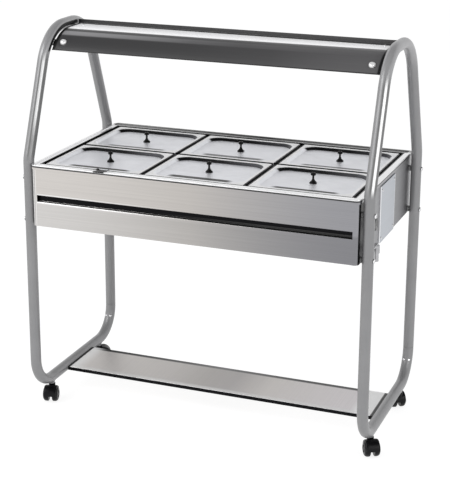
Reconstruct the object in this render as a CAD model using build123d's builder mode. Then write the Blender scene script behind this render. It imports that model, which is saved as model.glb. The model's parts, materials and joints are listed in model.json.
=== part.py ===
from build123d import *
from math import atan2, cos, radians, sin, sqrt, tan
import os

# Heated buffet cart: two bent tube side frames carry a bain-marie tank with six
# half-size food pans, a curved canopy with a lamp, a bottom shelf and four casters.
# X runs along the cart, the serving front faces -Y, and the floor is Z = 0.

# Side frames, each one hoop of round tube
tube_diameter = 34.0
tube_wall = 2.0
tank_frame_gap = 3.0
leg_inset = 30.0
rail_height = 80.0
kink_rise = 9.0
crown_spacing = 262.0
crown_rise = 393.0
floor_bend_radius = 100.0
kink_bend_radius = 70.0
crown_bend_radius = 150.0
joint_gap = 0.6
sleeve_length_up = 45.0
sleeve_bend_angle = 50.0
sleeve_wall = 2.0
sleeve_clearance = 0.15

# Tank casing
deck_height = 840.0
casing_height = 196.0
casing_sheet = 1.2
casing_inset = 2.0
casing_corner_radius = 14.0
casing_side_return = 16.0
flange_depth = 18.0
groove_top_below_deck = 97.0
groove_height = 20.0
groove_depth = 12.0
groove_end_margin = 18.0
groove_lip_radius = 3.0
fold_radius = 1.6

# Deck frame that the pans hang in
deck_sheet = 1.5
marine_edge_width = 9.0
marine_edge_rise = 2.5
skirt_height = 14.0
skirt_gap = 0.5
ledge_below_rim = 8.5
pan_gap_x = 8.0
pan_gap_y = 11.0
pan_gap_front = 8.0
ledge_flange_depth = 20.0
rim_end_width = 22.5
rim_side_width = 29.5
rim_corner_radius = 16.0
opening_corner_radius = 10.0

# Food pans and lids, half gastronorm size
pan_length = 325.0
pan_width = 265.0
pan_depth = 100.0
pan_sheet = 1.0
pan_rim_width = 10.0
pan_rim_radius = 12.0
pan_body_radius = 36.0
pan_draft = 3.0
pan_floor_radius = 12.0
pan_columns = 3
pan_rows = 2
bar_clearance = 2.0
bar_depth = 20.0
lid_height = 6.0
lid_sheet = 1.0
lid_rim_width = 14.0
lid_recess_depth = 9.0
lid_recess_radius = 46.0
lid_recess_draft = 42.0
ladle_notch_width = 35.0
ladle_notch_depth = 21.0
ladle_notch_offset = 33.0
knob_base_radius = 12.5
knob_neck_radius = 4.0
knob_cap_radius = 7.0
knob_height = 33.0

# Well under the pans
tub_sheet = 1.2
tub_depth = 136.0
element_rod = 8.0
element_turns = 3
element_margin = 60.0
element_floor_gap = 0.3
element_terminal_length = 22.0
bore_clearance = 0.2

# Canopy and its lamp
canopy_inside_crown = 8.0
canopy_sheet = 1.5
canopy_end_gap = 2.0
canopy_front_angle = 53.0
canopy_hem = 10.0
canopy_back_room = 2.0
canopy_back_lip = 14.0
bracket_angle = 40.4
bracket_length = 44.0
bracket_width = 24.0
bracket_sheet = 3.5
bracket_gap = 0.2
top_bracket_inset = 25.0
cap_nut_radius = 10.5
cap_nut_height = 8.0
cap_nut_inset = 30.0
cap_stud_radius = 3.0
lamp_housing_width = 70.0
lamp_housing_height = 30.0
lamp_housing_end_inset = 42.0
lamp_housing_gap = 0.8
lamp_sheet = 1.2
lamp_tube_radius = 8.0
lamp_end_room = 60.5
lamp_holder_size = 20.0
lamp_holder_depth = 26.0
lamp_tube_drop = 16.0
diffuser_thickness = 2.5

# Bottom shelf
shelf_rise = 5.0
shelf_width = 184.0
shelf_sheet = 1.5
shelf_flange = 13.0
shelf_hem = 12.0
shelf_end_gap = 0.1
shelf_screw_spacing = 120.0
shelf_screw_drop = 7.0

# Casters with twin wheels
caster_inset = 2.0
wheel_radius = 25.0
wheel_width = 18.0
wheel_edge_radius = 3.0
wheel_dome_radius = 10.0
wheel_dish_radius = 12.0
wheel_dish_depth = 2.5
caster_web = 12.0
wheel_side_gap = 0.6
caster_trail = 16.0
caster_top = 57.0
fender_gap = 1.0
fender_wall = 2.5
stem_radius = 5.0
stem_length = 24.0
socket_radius = 9.5
running_gap = 0.05
face_gap = 0.2
axle_radius = 3.5
web_hub_radius = 12.0
boss_height = 19.0
fender_width = 42.0
boss_radius = 11.0
caster_turn = {"front_left": 165.0, "front_right": 150.0, "rear_left": 55.0, "rear_right": -35.0}

# Bolts and screws
bolt_radius = 4.0
bolt_head_radius = 7.5
bolt_head_height = 4.0
bolt_below_deck = 50.0
bolt_above_bottom = 11.0
nut_across_flats = 13.0
nut_height = 6.5
nut_tail = 3.0
spacer_radius = 9.0
screw_radius = 2.4
screw_head_radius = 4.2
screw_head_height = 2.6
screw_hole_gap = 0.15
seat_gap = 0.15

# Controls and fittings on the right side panel
control_from_cover = 95.0
thermostat_below_deck = 105.0
switch_below_deck = 45.0
light_switch_step = 34.0
pilot_lamp_step = 26.0
dial_radius = 21.0
dial_skirt_radius = 24.0
dial_depth = 18.0
dial_skirt_depth = 4.0
dial_shaft_radius = 3.0
dial_shaft_length = 11.0
dial_standoff = 0.5
thermostat_body_size = (24.0, 36.0, 44.0)
switch_bezel = (24.0, 33.0)
switch_bezel_depth = 2.0
switch_body_depth = 22.0
switch_wall = 2.7
switch_cavity = (18.4, 29.0)
switch_back = 2.0
rocker_tilt = 8.0
rocker_pin_radius = 1.5
rocker_width = 18.0
rocker_pin_reach = 1.0
rocker_inset = 1.0
pilot_radius = 6.0
pilot_depth = 20.0
pilot_bezel_radius = 8.0
pilot_dome_height = 4.5
cover_width = 168.0
cover_sheet = 1.5
cover_standoff = 4.0
cover_screw_margin = 14.0
tap_from_cover = 94.0
tap_rise = 15.0
tap_stand = 19.0
tap_body_radius = 11.0
tap_stub_radius = 8.0
tap_spout_radius = 8.5
tap_spout_drop = 37.0
tap_bore_radius = 5.0
tap_bend_radius = 14.0
tap_flange_radius = 13.0
tap_flange_height = 2.0
tap_collar_radius = 12.0
tap_collar_depth = 3.0
tap_body_rise = 11.8
drain_inset = 34.2
plug_radius = 7.0
plug_drop = 7.5
plug_port_radius = 4.0
lever_length = 46.0
lever_thickness = 5.0
lever_width = 12.0
gland_radius = 11.0
gland_inset = (94.0, 106.0)
gland_drop = 18.0

# Places worked out from the sizes above
tube_radius = tube_diameter / 2
pitch_x = pan_length + pan_gap_x
pitch_y = pan_width + pan_gap_y
opening_x = (pan_columns * pitch_x + pan_gap_x) / 2
opening_y = (pan_rows * pitch_y - pan_gap_y) / 2 + pan_gap_front
tank_length = 2 * (opening_x + rim_end_width)
tank_width = 2 * (opening_y + rim_side_width)
frame_x = tank_length / 2 + tube_radius + tank_frame_gap
leg_y = tank_width / 2 - leg_inset
apron_bottom = deck_height - casing_height
kink_height = deck_height + kink_rise
crown_height = deck_height + crown_rise
crown_y = crown_spacing / 2
floor_tangent = rail_height + floor_bend_radius
slope = atan2(leg_y - crown_y, crown_height - kink_height)
crown_tangent = crown_bend_radius * tan((radians(90) - slope) / 2)
crown_centre_y = crown_y - crown_tangent
crown_centre_z = crown_height - crown_bend_radius
casing_length = tank_length - 2 * casing_inset
casing_width = tank_width - 2 * casing_inset
casing_x = casing_length / 2
casing_y = casing_width / 2
rim_top = deck_height - marine_edge_rise
ledge_top = rim_top - ledge_below_rim
pan_body_length = pan_length - 2 * pan_rim_width
pan_body_width = pan_width - 2 * pan_rim_width
ledge_x = opening_x - pan_gap_x - pan_rim_width + bar_clearance
ledge_y = opening_y - pan_gap_front - pan_rim_width + bar_clearance
apron_top = rim_top - deck_sheet
tub_floor = ledge_top - deck_sheet - tub_depth
tub_x = ledge_x + deck_sheet + tub_sheet
tub_y = ledge_y + deck_sheet + tub_sheet
lid_seat = ledge_top + pan_sheet
lid_top = lid_seat + lid_height
knob_seat = lid_top - lid_recess_depth
canopy_x = frame_x - tube_radius - canopy_end_gap
canopy_radius = crown_bend_radius - canopy_inside_crown
canopy_top = crown_centre_z + canopy_radius
lamp_y = lamp_housing_gap + lamp_housing_width / 2 - crown_centre_y
canopy_back_y = lamp_y + lamp_housing_width / 2 + canopy_back_room
top_bracket_y = canopy_back_y - top_bracket_inset
groove_top = deck_height - groove_top_below_deck
groove_bottom = groove_top - groove_height
groove_x = casing_x - groove_end_margin
shelf_top = rail_height + shelf_rise
shelf_screw_z = shelf_top - shelf_screw_drop
caster_y = leg_y - floor_bend_radius - caster_inset
bolt_heights = (deck_height - bolt_below_deck, apron_bottom + bolt_above_bottom)
control_y = -cover_width / 2 - control_from_cover
light_switch_y = control_y - light_switch_step
pilot_lamp_y = light_switch_y - pilot_lamp_step
thermostat_height = deck_height - thermostat_below_deck
switch_height = deck_height - switch_below_deck
tap_y = -cover_width / 2 - tap_from_cover
tap_height = apron_bottom + tap_rise
tap_spout_bottom = tap_height - tap_spout_drop
drain_x = tub_x - drain_inset
gland_place = (casing_x - gland_inset[0], casing_y - gland_inset[1])
sides = {"left": -1, "right": 1}
ends = {"front": -1, "rear": 1}
columns = ("left", "middle", "right")[:pan_columns]

os.makedirs("parts", exist_ok=True)


def save(piece, name):
    """Label a finished piece and write it under its own name."""
    piece.label = name
    export_step(piece, f"parts/{name}.step")


def ring(outer, inner, outer_radius, inner_radius):
    """Sketch a rectangular ring with rounded corners."""
    RectangleRounded(*outer, outer_radius)
    RectangleRounded(*inner, inner_radius, mode=Mode.SUBTRACT)


def crown_point(radius, angle):
    """A point on the front crown bend, by radius and degrees forward of upright."""
    turn = radians(angle)
    return -crown_centre_y - radius * sin(turn), crown_centre_z + radius * cos(turn)


# One pan-head screw, standing on Z = 0 with its head up
screw_grip = 8.0
with BuildPart() as screw:
    Cylinder(screw_head_radius, screw_head_height, align=(Align.CENTER, Align.CENTER, Align.MIN))
    fillet(screw.edges().group_by(Axis.Z)[-1], screw_head_height * 0.55)
    with Locations((0, 0, -screw_grip / 2)):
        Cylinder(screw_radius, screw_grip)

# Two screws side by side on the inside of each rear floor bend hold the hoop's joint
joint_turn = radians(27.0)
joint_radial = floor_bend_radius - tube_radius
joint_y = leg_y - floor_bend_radius
joint_fan = (-30.0, 21.0)


def joint_planes(side):
    """Planes on the tube's surface for the joint screws, facing out of the tube."""
    inward = Vector(0, -cos(joint_turn), sin(joint_turn))
    middle = Vector(
        side * frame_x,
        joint_y + floor_bend_radius * cos(joint_turn),
        floor_tangent - floor_bend_radius * sin(joint_turn),
    )
    found = []
    for fan in joint_fan:
        out = inward * cos(radians(fan)) - Vector(1, 0, 0) * sin(radians(fan))
        found.append(Plane(origin=middle + out * (tube_radius + seat_gap), z_dir=out))
    return found


# Side frames: a hoop that starts and ends at a butt joint low in the rear leg
for side_name, side in sides.items():
    with BuildPart() as side_frame:
        with BuildLine(Plane.YZ.offset(side * frame_x)) as hoop:
            FilletPolyline(
                (leg_y, floor_tangent),
                (leg_y, rail_height),
                (-leg_y, rail_height),
                (-leg_y, kink_height),
                (-crown_y, crown_height),
                (crown_y, crown_height),
                (leg_y, kink_height),
                (leg_y, floor_tangent + joint_gap),
                radius=[
                    floor_bend_radius,
                    floor_bend_radius,
                    kink_bend_radius,
                    crown_bend_radius,
                    crown_bend_radius,
                    kink_bend_radius,
                ],
            )
        with BuildSketch(Plane((side * frame_x, leg_y, floor_tangent))):
            Circle(tube_radius)
            Circle(tube_radius - tube_wall, mode=Mode.SUBTRACT)
        sweep(path=hoop.wires()[0])
        for end in ends.values():
            for height in bolt_heights:
                with Locations(Plane.YZ * Location((end * leg_y, height, side * frame_x))):
                    Cylinder(bolt_radius + bore_clearance, tube_diameter + 2, mode=Mode.SUBTRACT)
            with Locations((side * frame_x, end * caster_y, rail_height - tube_radius)):
                Cylinder(stem_radius + bore_clearance, tube_radius, mode=Mode.SUBTRACT)
            shelf_hole = (end * shelf_screw_spacing / 2, shelf_screw_z, side * (frame_x - tube_radius))
            with Locations(Plane.YZ * Location(shelf_hole)):
                Cylinder(screw_radius + screw_hole_gap, screw_grip, mode=Mode.SUBTRACT)
        with Locations(*[Location(plane) for plane in joint_planes(side)]):
            Cylinder(screw_radius + screw_hole_gap, 2 * screw_grip, mode=Mode.SUBTRACT)
    save(side_frame.part, f"{side_name}_side_frame")

# Sleeves inside the hoop joints, curved at their lower end like the bend they sit in
sleeve_radius = tube_radius - tube_wall - sleeve_clearance
with BuildPart() as joint_sleeves:
    for side in sides.values():
        with BuildLine(Plane.YZ.offset(side * frame_x)) as sleeve_path:
            Line((leg_y, floor_tangent + sleeve_length_up), (leg_y, floor_tangent))
            CenterArc((joint_y, floor_tangent), floor_bend_radius, 0, -sleeve_bend_angle)
        with BuildSketch(Plane((side * frame_x, leg_y, floor_tangent + sleeve_length_up))):
            Circle(sleeve_radius)
            Circle(sleeve_radius - sleeve_wall, mode=Mode.SUBTRACT)
        sweep(path=sleeve_path.wires()[0])
        with Locations(*[Location(plane) for plane in joint_planes(side)]):
            Cylinder(screw_radius + screw_hole_gap, 2 * screw_grip, mode=Mode.SUBTRACT)
save(joint_sleeves.part, "frame_joint_sleeves")

# Front apron: folded face with the long finger groove, rounded corners and closed groove ends
face_y = casing_y - casing_sheet / 2
with BuildPart() as front_apron:
    with BuildSketch(Plane.YZ.offset(-groove_x)):
        with BuildLine() as apron_fold:
            FilletPolyline(
                (-casing_y, apron_top),
                (-casing_y, groove_top),
                (-casing_y + groove_depth, groove_top),
                (-casing_y + groove_depth, groove_bottom),
                (-casing_y, groove_bottom),
                (-casing_y, apron_bottom),
                (-casing_y + flange_depth, apron_bottom),
                radius=[groove_lip_radius, fold_radius, fold_radius, groove_lip_radius, fold_radius],
            )
            offset(amount=casing_sheet, side=Side.LEFT)
        make_face()
    extrude(amount=2 * groove_x)
    for side in sides.values():
        with BuildSketch(Plane.XY.offset(apron_bottom)):
            ring(
                (casing_length, casing_width),
                (casing_length - 2 * casing_sheet, casing_width - 2 * casing_sheet),
                casing_corner_radius,
                casing_corner_radius - casing_sheet,
            )
            with Locations((side * (groove_x + casing_x) / 2, -casing_y)):
                Rectangle(casing_x - groove_x, 2 * casing_side_return, mode=Mode.INTERSECT)
        extrude(amount=apron_top - apron_bottom)
        with BuildSketch(Plane.YZ.offset(side * groove_x)):
            groove_middle = (groove_top + groove_bottom) / 2
            with Locations((-casing_y + (groove_depth + casing_sheet) / 2, groove_middle)):
                Rectangle(groove_depth + casing_sheet, groove_height + 2 * casing_sheet)
        extrude(amount=side * casing_sheet)
save(front_apron.part, "front_apron")

# Rear apron: the same folding, turned round
with BuildPart() as rear_apron:
    add(front_apron.part.rotate(Axis.Z, 180))
save(rear_apron.part, "rear_apron")

# Side panels between the aprons, each with its bolt holes
control_places = {
    "dial": (control_y, thermostat_height),
    "heat_switch": (control_y, switch_height),
    "light_switch": (light_switch_y, switch_height),
    "pilot": (pilot_lamp_y, switch_height),
}
cover_access = 96.0
panel_half = casing_y - casing_side_return
cover_height = apron_top - skirt_height - apron_bottom - 2 * skirt_gap
cover_middle = apron_bottom + cover_height / 2 + skirt_gap
cover_screw_places = [
    (y * (cover_width / 2 - cover_screw_margin), cover_middle + z * (cover_height / 2 - cover_screw_margin))
    for y in (-1, 1)
    for z in (-1, 1)
]


def side_plane(x):
    """The plane across the cart at x, with Y to the right and Z up."""
    return Plane.YZ.offset(x)


for side_name, side in sides.items():
    with BuildPart() as side_panel:
        with BuildSketch(side_plane(side * casing_x)):
            with Locations((0, (apron_top + apron_bottom) / 2)):
                Rectangle(2 * panel_half, apron_top - apron_bottom)
            with Locations(*[(end * leg_y, height) for end in ends.values() for height in bolt_heights]):
                Circle(bolt_radius + bore_clearance, mode=Mode.SUBTRACT)
            if side_name == "right":
                with Locations(control_places["dial"]):
                    Circle(dial_shaft_radius + bore_clearance, mode=Mode.SUBTRACT)
                with Locations(control_places["heat_switch"], control_places["light_switch"]):
                    Rectangle(
                        switch_bezel[0] - switch_wall,
                        switch_bezel[1] - switch_wall,
                        mode=Mode.SUBTRACT,
                    )
                with Locations(control_places["pilot"]):
                    Circle(pilot_radius + bore_clearance, mode=Mode.SUBTRACT)
                with Locations((tap_y, tap_height)):
                    Circle(tap_stub_radius + bore_clearance, mode=Mode.SUBTRACT)
                with Locations((0, cover_middle)):
                    RectangleRounded(cover_access, cover_access, casing_corner_radius, mode=Mode.SUBTRACT)
                with Locations(*cover_screw_places):
                    Circle(screw_radius + screw_hole_gap, mode=Mode.SUBTRACT)
        extrude(amount=-side * casing_sheet)
    save(side_panel.part, f"{side_name}_side_panel")

# Service cover: a shallow tray screwed over the access hole in the right side panel
cover_x = casing_x + cover_standoff
with BuildPart() as service_cover:
    with BuildSketch(side_plane(casing_x)):
        with Locations((0, cover_middle)):
            Rectangle(cover_width, cover_height)
    extrude(amount=cover_standoff)
    fillet(service_cover.edges().filter_by(Axis.Z).group_by(Axis.X)[-1], cover_sheet)
    with BuildSketch(side_plane(casing_x)):
        with Locations((0, cover_middle)):
            Rectangle(cover_width - 2 * cover_sheet, cover_height - 2 * cover_sheet)
    extrude(amount=cover_standoff - cover_sheet, mode=Mode.SUBTRACT)
    with BuildSketch(side_plane(casing_x)):
        with Locations(*cover_screw_places):
            Circle(screw_radius + cover_sheet)
    extrude(amount=cover_standoff - cover_sheet / 2)
    with BuildSketch(side_plane(casing_x)):
        with Locations(*cover_screw_places):
            Circle(screw_radius + screw_hole_gap)
    extrude(amount=cover_standoff + 1, mode=Mode.SUBTRACT)
save(service_cover.part, "service_cover")

# Deck frame: marine edge, rim, ledge for the pan rims and the turned-down edges
with BuildPart() as deck_frame:
    outer = (tank_length, tank_width)
    step = (tank_length - 2 * marine_edge_width, tank_width - 2 * marine_edge_width)
    opening = (2 * opening_x, 2 * opening_y)
    ledge = (2 * ledge_x, 2 * ledge_y)
    step_radius = rim_corner_radius - marine_edge_width
    with BuildSketch(Plane.XY.offset(deck_height)):
        ring(outer, step, rim_corner_radius, step_radius)
    extrude(amount=-deck_sheet)
    with BuildSketch(Plane.XY.offset(deck_height)):
        skirt_inner = (outer[0] - 2 * deck_sheet, outer[1] - 2 * deck_sheet)
        ring(outer, skirt_inner, rim_corner_radius, rim_corner_radius - deck_sheet)
    extrude(amount=-skirt_height)
    with BuildSketch(Plane.XY.offset(rim_top - deck_sheet)):
        step_outer = (step[0] + 2 * deck_sheet, step[1] + 2 * deck_sheet)
        ring(step_outer, step, step_radius + deck_sheet, step_radius)
    extrude(amount=marine_edge_rise + deck_sheet)
    with BuildSketch(Plane.XY.offset(rim_top)):
        ring(step_outer, opening, step_radius + deck_sheet, opening_corner_radius)
    extrude(amount=-deck_sheet)
    with BuildSketch(Plane.XY.offset(rim_top)):
        wall_outer = (opening[0] + 2 * deck_sheet, opening[1] + 2 * deck_sheet)
        ring(wall_outer, opening, opening_corner_radius + deck_sheet, opening_corner_radius)
    extrude(amount=-ledge_below_rim - deck_sheet)
    with BuildSketch(Plane.XY.offset(ledge_top)):
        RectangleRounded(*wall_outer, opening_corner_radius + deck_sheet)
        Rectangle(*ledge, mode=Mode.SUBTRACT)
    extrude(amount=-deck_sheet)
    with BuildSketch(Plane.XY.offset(ledge_top)):
        Rectangle(ledge[0] + 2 * deck_sheet, ledge[1] + 2 * deck_sheet)
        Rectangle(*ledge, mode=Mode.SUBTRACT)
    extrude(amount=-ledge_flange_depth)
    fillet(deck_frame.edges().group_by(Axis.Z)[-1], deck_sheet * 0.6)
save(deck_frame.part, "deck_frame")

# Bars across the opening: one along the cart, short ones from it to the ledge
bar_x_width = pan_gap_x + 2 * (pan_rim_width - bar_clearance)
bar_y_width = pan_gap_y + 2 * (pan_rim_width - bar_clearance)
column_gaps = [(column - pan_columns / 2) * pitch_x for column in range(1, pan_columns)]


def bar_channel(width):
    """Sketch the section of an upside-down channel with its top on the X axis."""
    with Locations((0, -bar_depth / 2)):
        Rectangle(width, bar_depth)
    with Locations((0, -bar_depth / 2 - deck_sheet)):
        Rectangle(width - 2 * deck_sheet, bar_depth, mode=Mode.SUBTRACT)


with BuildPart() as pan_bars:
    with BuildSketch(Plane(origin=(-ledge_x, 0, ledge_top), x_dir=(0, 1, 0), z_dir=(1, 0, 0))):
        bar_channel(bar_y_width)
    extrude(amount=2 * ledge_x)
    for gap_x in column_gaps:
        for end in ends.values():
            start = (gap_x, end * bar_y_width / 2, ledge_top)
            with BuildSketch(Plane(origin=start, x_dir=(-end, 0, 0), z_dir=(0, end, 0))):
                bar_channel(bar_x_width)
            extrude(amount=ledge_y - bar_y_width / 2)
save(pan_bars.part, "pan_support_bars")

# Well tub, hung from the underside of the ledge, with holes for the drain and the element
tub_wall_height = ledge_top - deck_sheet - tub_floor
element_level = tub_floor + tub_sheet + element_floor_gap + element_rod / 2
element_y = [(i - (2 * element_turns - 1) / 2) * (2 * tub_y - 2 * element_margin) / (2 * element_turns - 1)
             for i in range(2 * element_turns)]
with BuildPart() as well_tub:
    with BuildSketch(Plane.XY.offset(tub_floor)):
        Rectangle(2 * tub_x, 2 * tub_y)
    extrude(amount=tub_wall_height)
    with BuildSketch(Plane.XY.offset(tub_floor + tub_sheet)):
        Rectangle(2 * (tub_x - tub_sheet), 2 * (tub_y - tub_sheet))
    extrude(amount=tub_wall_height, mode=Mode.SUBTRACT)
    with BuildSketch(side_plane(tub_x - 2 * tub_sheet)):
        with Locations((element_y[0], element_level), (element_y[-1], element_level)):
            Circle(element_rod / 2 + bore_clearance)
    extrude(amount=3 * tub_sheet, mode=Mode.SUBTRACT)
    with BuildSketch(Plane.XY.offset(tub_floor)):
        with Locations((drain_x, tap_y)):
            Circle(tap_bore_radius)
    extrude(amount=tub_sheet, mode=Mode.SUBTRACT)
save(well_tub.part, "well_tub")

# Heating element: one bent rod in long loops over the tub floor, ends out through the right wall
element_reach = tub_x - element_margin
element_stops = [(tub_x + element_terminal_length, element_y[0])]
for number, y in enumerate(element_y):
    edge = -element_reach if number % 2 == 0 else element_reach
    element_stops.append((edge, y))
    if number + 1 < len(element_y):
        element_stops.append((edge, element_y[number + 1]))
element_stops[-1] = (tub_x + element_terminal_length, element_y[-1])
element_bend = (element_y[1] - element_y[0]) / 2 - 0.5
with BuildPart() as heating_element:
    with BuildLine(Plane.XY.offset(element_level)) as element_path:
        FilletPolyline(*element_stops, radius=element_bend)
    with BuildSketch(Plane(origin=(*element_stops[0], element_level), z_dir=(-1, 0, 0))):
        Circle(element_rod / 2)
    sweep(path=element_path.wires()[0])
save(heating_element.part, "heating_element")

# Bottom cover, resting on the aprons' lower flanges, with the cord gland's hole
with BuildPart() as bottom_cover:
    with BuildSketch(Plane.XY.offset(apron_bottom + casing_sheet)):
        cover_size = (casing_length - 2 * casing_sheet - 2, casing_width - 2 * casing_sheet - 2)
        RectangleRounded(*cover_size, casing_corner_radius)
        with Locations(gland_place):
            Circle(gland_radius * 0.6 + bore_clearance, mode=Mode.SUBTRACT)
    extrude(amount=casing_sheet)
save(bottom_cover.part, "bottom_cover")
with BuildPart() as cable_gland:
    with Locations((*gland_place, apron_bottom + casing_sheet)):
        gland_down = (Align.CENTER, Align.CENTER, Align.MAX)
        gland_up = (Align.CENTER, Align.CENTER, Align.MIN)
        Cylinder(gland_radius, gland_drop * 0.45, align=gland_down)
        Cone(gland_radius * 0.6, gland_radius * 0.9, gland_drop, align=gland_down)
        Cylinder(gland_radius * 0.6, 3 * casing_sheet, align=gland_up)
        Cylinder(gland_radius * 0.35, 4 * gland_drop, mode=Mode.SUBTRACT)
    with Locations((*gland_place, apron_bottom + 2 * casing_sheet)):
        Cylinder(gland_radius * 0.9, 2 * casing_sheet, align=gland_up)
        Cylinder(gland_radius * 0.35, 4 * gland_drop, mode=Mode.SUBTRACT)
save(cable_gland.part, "cable_gland")

# Food pans: a flat rim and a deep body with draft, one for each place in the deck
def pan_middle(row, column):
    """The middle of a pan's place in plan."""
    across = {"front": -1, "rear": 1}[row] * pitch_y / 2
    along = (columns.index(column) - (len(columns) - 1) / 2) * pitch_x
    return along, across


places = [(row, column) for row in ends for column in columns]
for row, column in places:
    middle = pan_middle(row, column)
    with BuildPart() as pan_inside:
        with BuildSketch(Plane.XY.offset(ledge_top + pan_sheet)):
            with Locations(middle):
                RectangleRounded(
                    pan_body_length - 2 * pan_sheet,
                    pan_body_width - 2 * pan_sheet,
                    pan_body_radius - pan_sheet,
                )
        extrude(amount=-pan_depth, taper=pan_draft)
        fillet(pan_inside.edges().group_by(Axis.Z)[0], pan_floor_radius - pan_sheet)
    with BuildPart() as pan:
        with BuildSketch(Plane.XY.offset(ledge_top)):
            with Locations(middle):
                RectangleRounded(pan_body_length, pan_body_width, pan_body_radius)
        extrude(amount=-pan_depth, taper=pan_draft)
        fillet(pan.edges().group_by(Axis.Z)[0], pan_floor_radius)
        with BuildSketch(Plane.XY.offset(ledge_top)):
            with Locations(middle):
                RectangleRounded(pan_length, pan_width, pan_rim_radius)
        extrude(amount=pan_sheet)
        add(pan_inside.part, mode=Mode.SUBTRACT)
    save(pan.part, f"pan_{row}_{column}")

# Lids: a rim with a turned-down edge and a recessed middle; one has a ladle notch
for row, column in places:
    middle = pan_middle(row, column)
    recess = (pan_length - 2 * lid_rim_width, pan_width - 2 * lid_rim_width)
    with BuildPart() as lid:
        with BuildSketch(Plane.XY.offset(lid_seat)):
            with Locations(middle):
                RectangleRounded(pan_length, pan_width, pan_rim_radius)
        extrude(amount=lid_height)
        fillet(lid.edges().group_by(Axis.Z)[-1], lid_sheet * 1.5)
        with BuildSketch(Plane.XY.offset(lid_seat)):
            with Locations(middle):
                RectangleRounded(
                    pan_length - 2 * lid_sheet, pan_width - 2 * lid_sheet, pan_rim_radius - lid_sheet
                )
        extrude(amount=lid_height - lid_sheet, mode=Mode.SUBTRACT)
        with BuildSketch(Plane.XY.offset(lid_top - lid_sheet / 2)):
            with Locations(middle):
                RectangleRounded(
                    recess[0] + 2 * lid_sheet, recess[1] + 2 * lid_sheet, lid_recess_radius + lid_sheet
                )
        extrude(amount=-lid_recess_depth - lid_sheet / 2, taper=lid_recess_draft)
        with BuildSketch(Plane.XY.offset(lid_top)):
            with Locations(middle):
                RectangleRounded(*recess, lid_recess_radius)
        extrude(amount=-lid_recess_depth, taper=lid_recess_draft, mode=Mode.SUBTRACT)
        if (row, column) == ("front", "left"):
            with BuildSketch(Plane.XY.offset(lid_top + 1)):
                with Locations((middle[0] + ladle_notch_offset, middle[1] - pan_width / 2)):
                    RectangleRounded(ladle_notch_width, 2 * ladle_notch_depth, ladle_notch_width * 0.3)
            extrude(amount=-lid_height - 6, mode=Mode.SUBTRACT)
    save(lid.part, f"lid_{row}_{column}")

# Lid knobs: flared foot, narrow neck and mushroom cap, standing in the recess
for row, column in places:
    middle = pan_middle(row, column)
    with BuildPart() as lid_knob:
        with BuildSketch(Plane(origin=(*middle, knob_seat), x_dir=(1, 0, 0), z_dir=(0, -1, 0))):
            with BuildLine():
                foot_top = knob_height * 0.09
                waist = knob_height * 0.5
                flare = (knob_base_radius * 0.5, waist * 0.43)
                cap_bottom = knob_height * 0.7
                cap_edge = cap_bottom + 1.5
                crown = knob_cap_radius * 0.65
                Line((0, 0), (knob_base_radius, 0))
                Line((knob_base_radius, 0), (knob_base_radius, foot_top))
                ThreePointArc((knob_base_radius, foot_top), flare, (knob_neck_radius, waist))
                Line((knob_neck_radius, waist), (knob_neck_radius, cap_bottom))
                Line((knob_neck_radius, cap_bottom), (knob_cap_radius, cap_edge))
                Line((knob_cap_radius, cap_edge), (knob_cap_radius, knob_height - crown))
                CenterArc((knob_cap_radius - crown, knob_height - crown), crown, 0, 90)
                Line((knob_cap_radius - crown, knob_height), (0, knob_height))
                Line((0, knob_height), (0, 0))
            make_face()
        revolve(axis=Axis((*middle, 0), (0, 0, 1)))
    save(lid_knob.part, f"lid_knob_{row}_{column}")

# Places of the canopy's brackets: a pair under its front bend and a pair under its flat top
canopy_inner = canopy_radius - canopy_sheet
canopy_under = canopy_top - canopy_sheet
bracket_level = sqrt(canopy_inner**2 - (bracket_width / 2) ** 2) - bracket_gap
bend_bracket_depth = crown_bend_radius - canopy_inner + bracket_gap
bend_bracket_reach = frame_x - sqrt(tube_radius**2 - bend_bracket_depth**2) - bracket_gap
top_bracket_reach = frame_x - sqrt(tube_radius**2 - (crown_height - canopy_under) ** 2) - bracket_gap
bracket_out = Vector(0, -sin(radians(bracket_angle)), cos(radians(bracket_angle)))
cap_x = canopy_x - cap_nut_inset


def bend_plane(x, radius):
    """A plane facing out of the canopy's front bend at the bracket angle."""
    origin = Vector(x, -crown_centre_y, crown_centre_z) + bracket_out * radius
    return Plane(origin=origin, x_dir=(1, 0, 0), z_dir=bracket_out)


# Canopy: one curved sheet with a hem at the front and a turned-up lip at the back
hem_start = crown_point(canopy_radius, canopy_front_angle)
with BuildPart() as canopy:
    with BuildSketch(side_plane(-canopy_x)):
        with BuildLine():
            Line((hem_start[0] + canopy_hem, hem_start[1]), hem_start)
            CenterArc(
                (-crown_centre_y, crown_centre_z),
                canopy_radius,
                90 + canopy_front_angle,
                -canopy_front_angle,
            )
            FilletPolyline(
                (-crown_centre_y, canopy_top),
                (canopy_back_y, canopy_top),
                (canopy_back_y, canopy_top + canopy_back_lip),
                radius=2 * canopy_sheet,
            )
            offset(amount=canopy_sheet, side=Side.RIGHT)
        make_face()
    extrude(amount=2 * canopy_x)
    with Locations(*[Location(bend_plane(side * cap_x, canopy_radius)) for side in sides.values()]):
        Cylinder(cap_stud_radius + bore_clearance, 4 * canopy_sheet, mode=Mode.SUBTRACT)
    with Locations(*[(side * cap_x, top_bracket_y, canopy_top) for side in sides.values()]):
        Cylinder(screw_radius + screw_hole_gap, 4 * canopy_sheet, mode=Mode.SUBTRACT)
save(canopy.part, "canopy")

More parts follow.
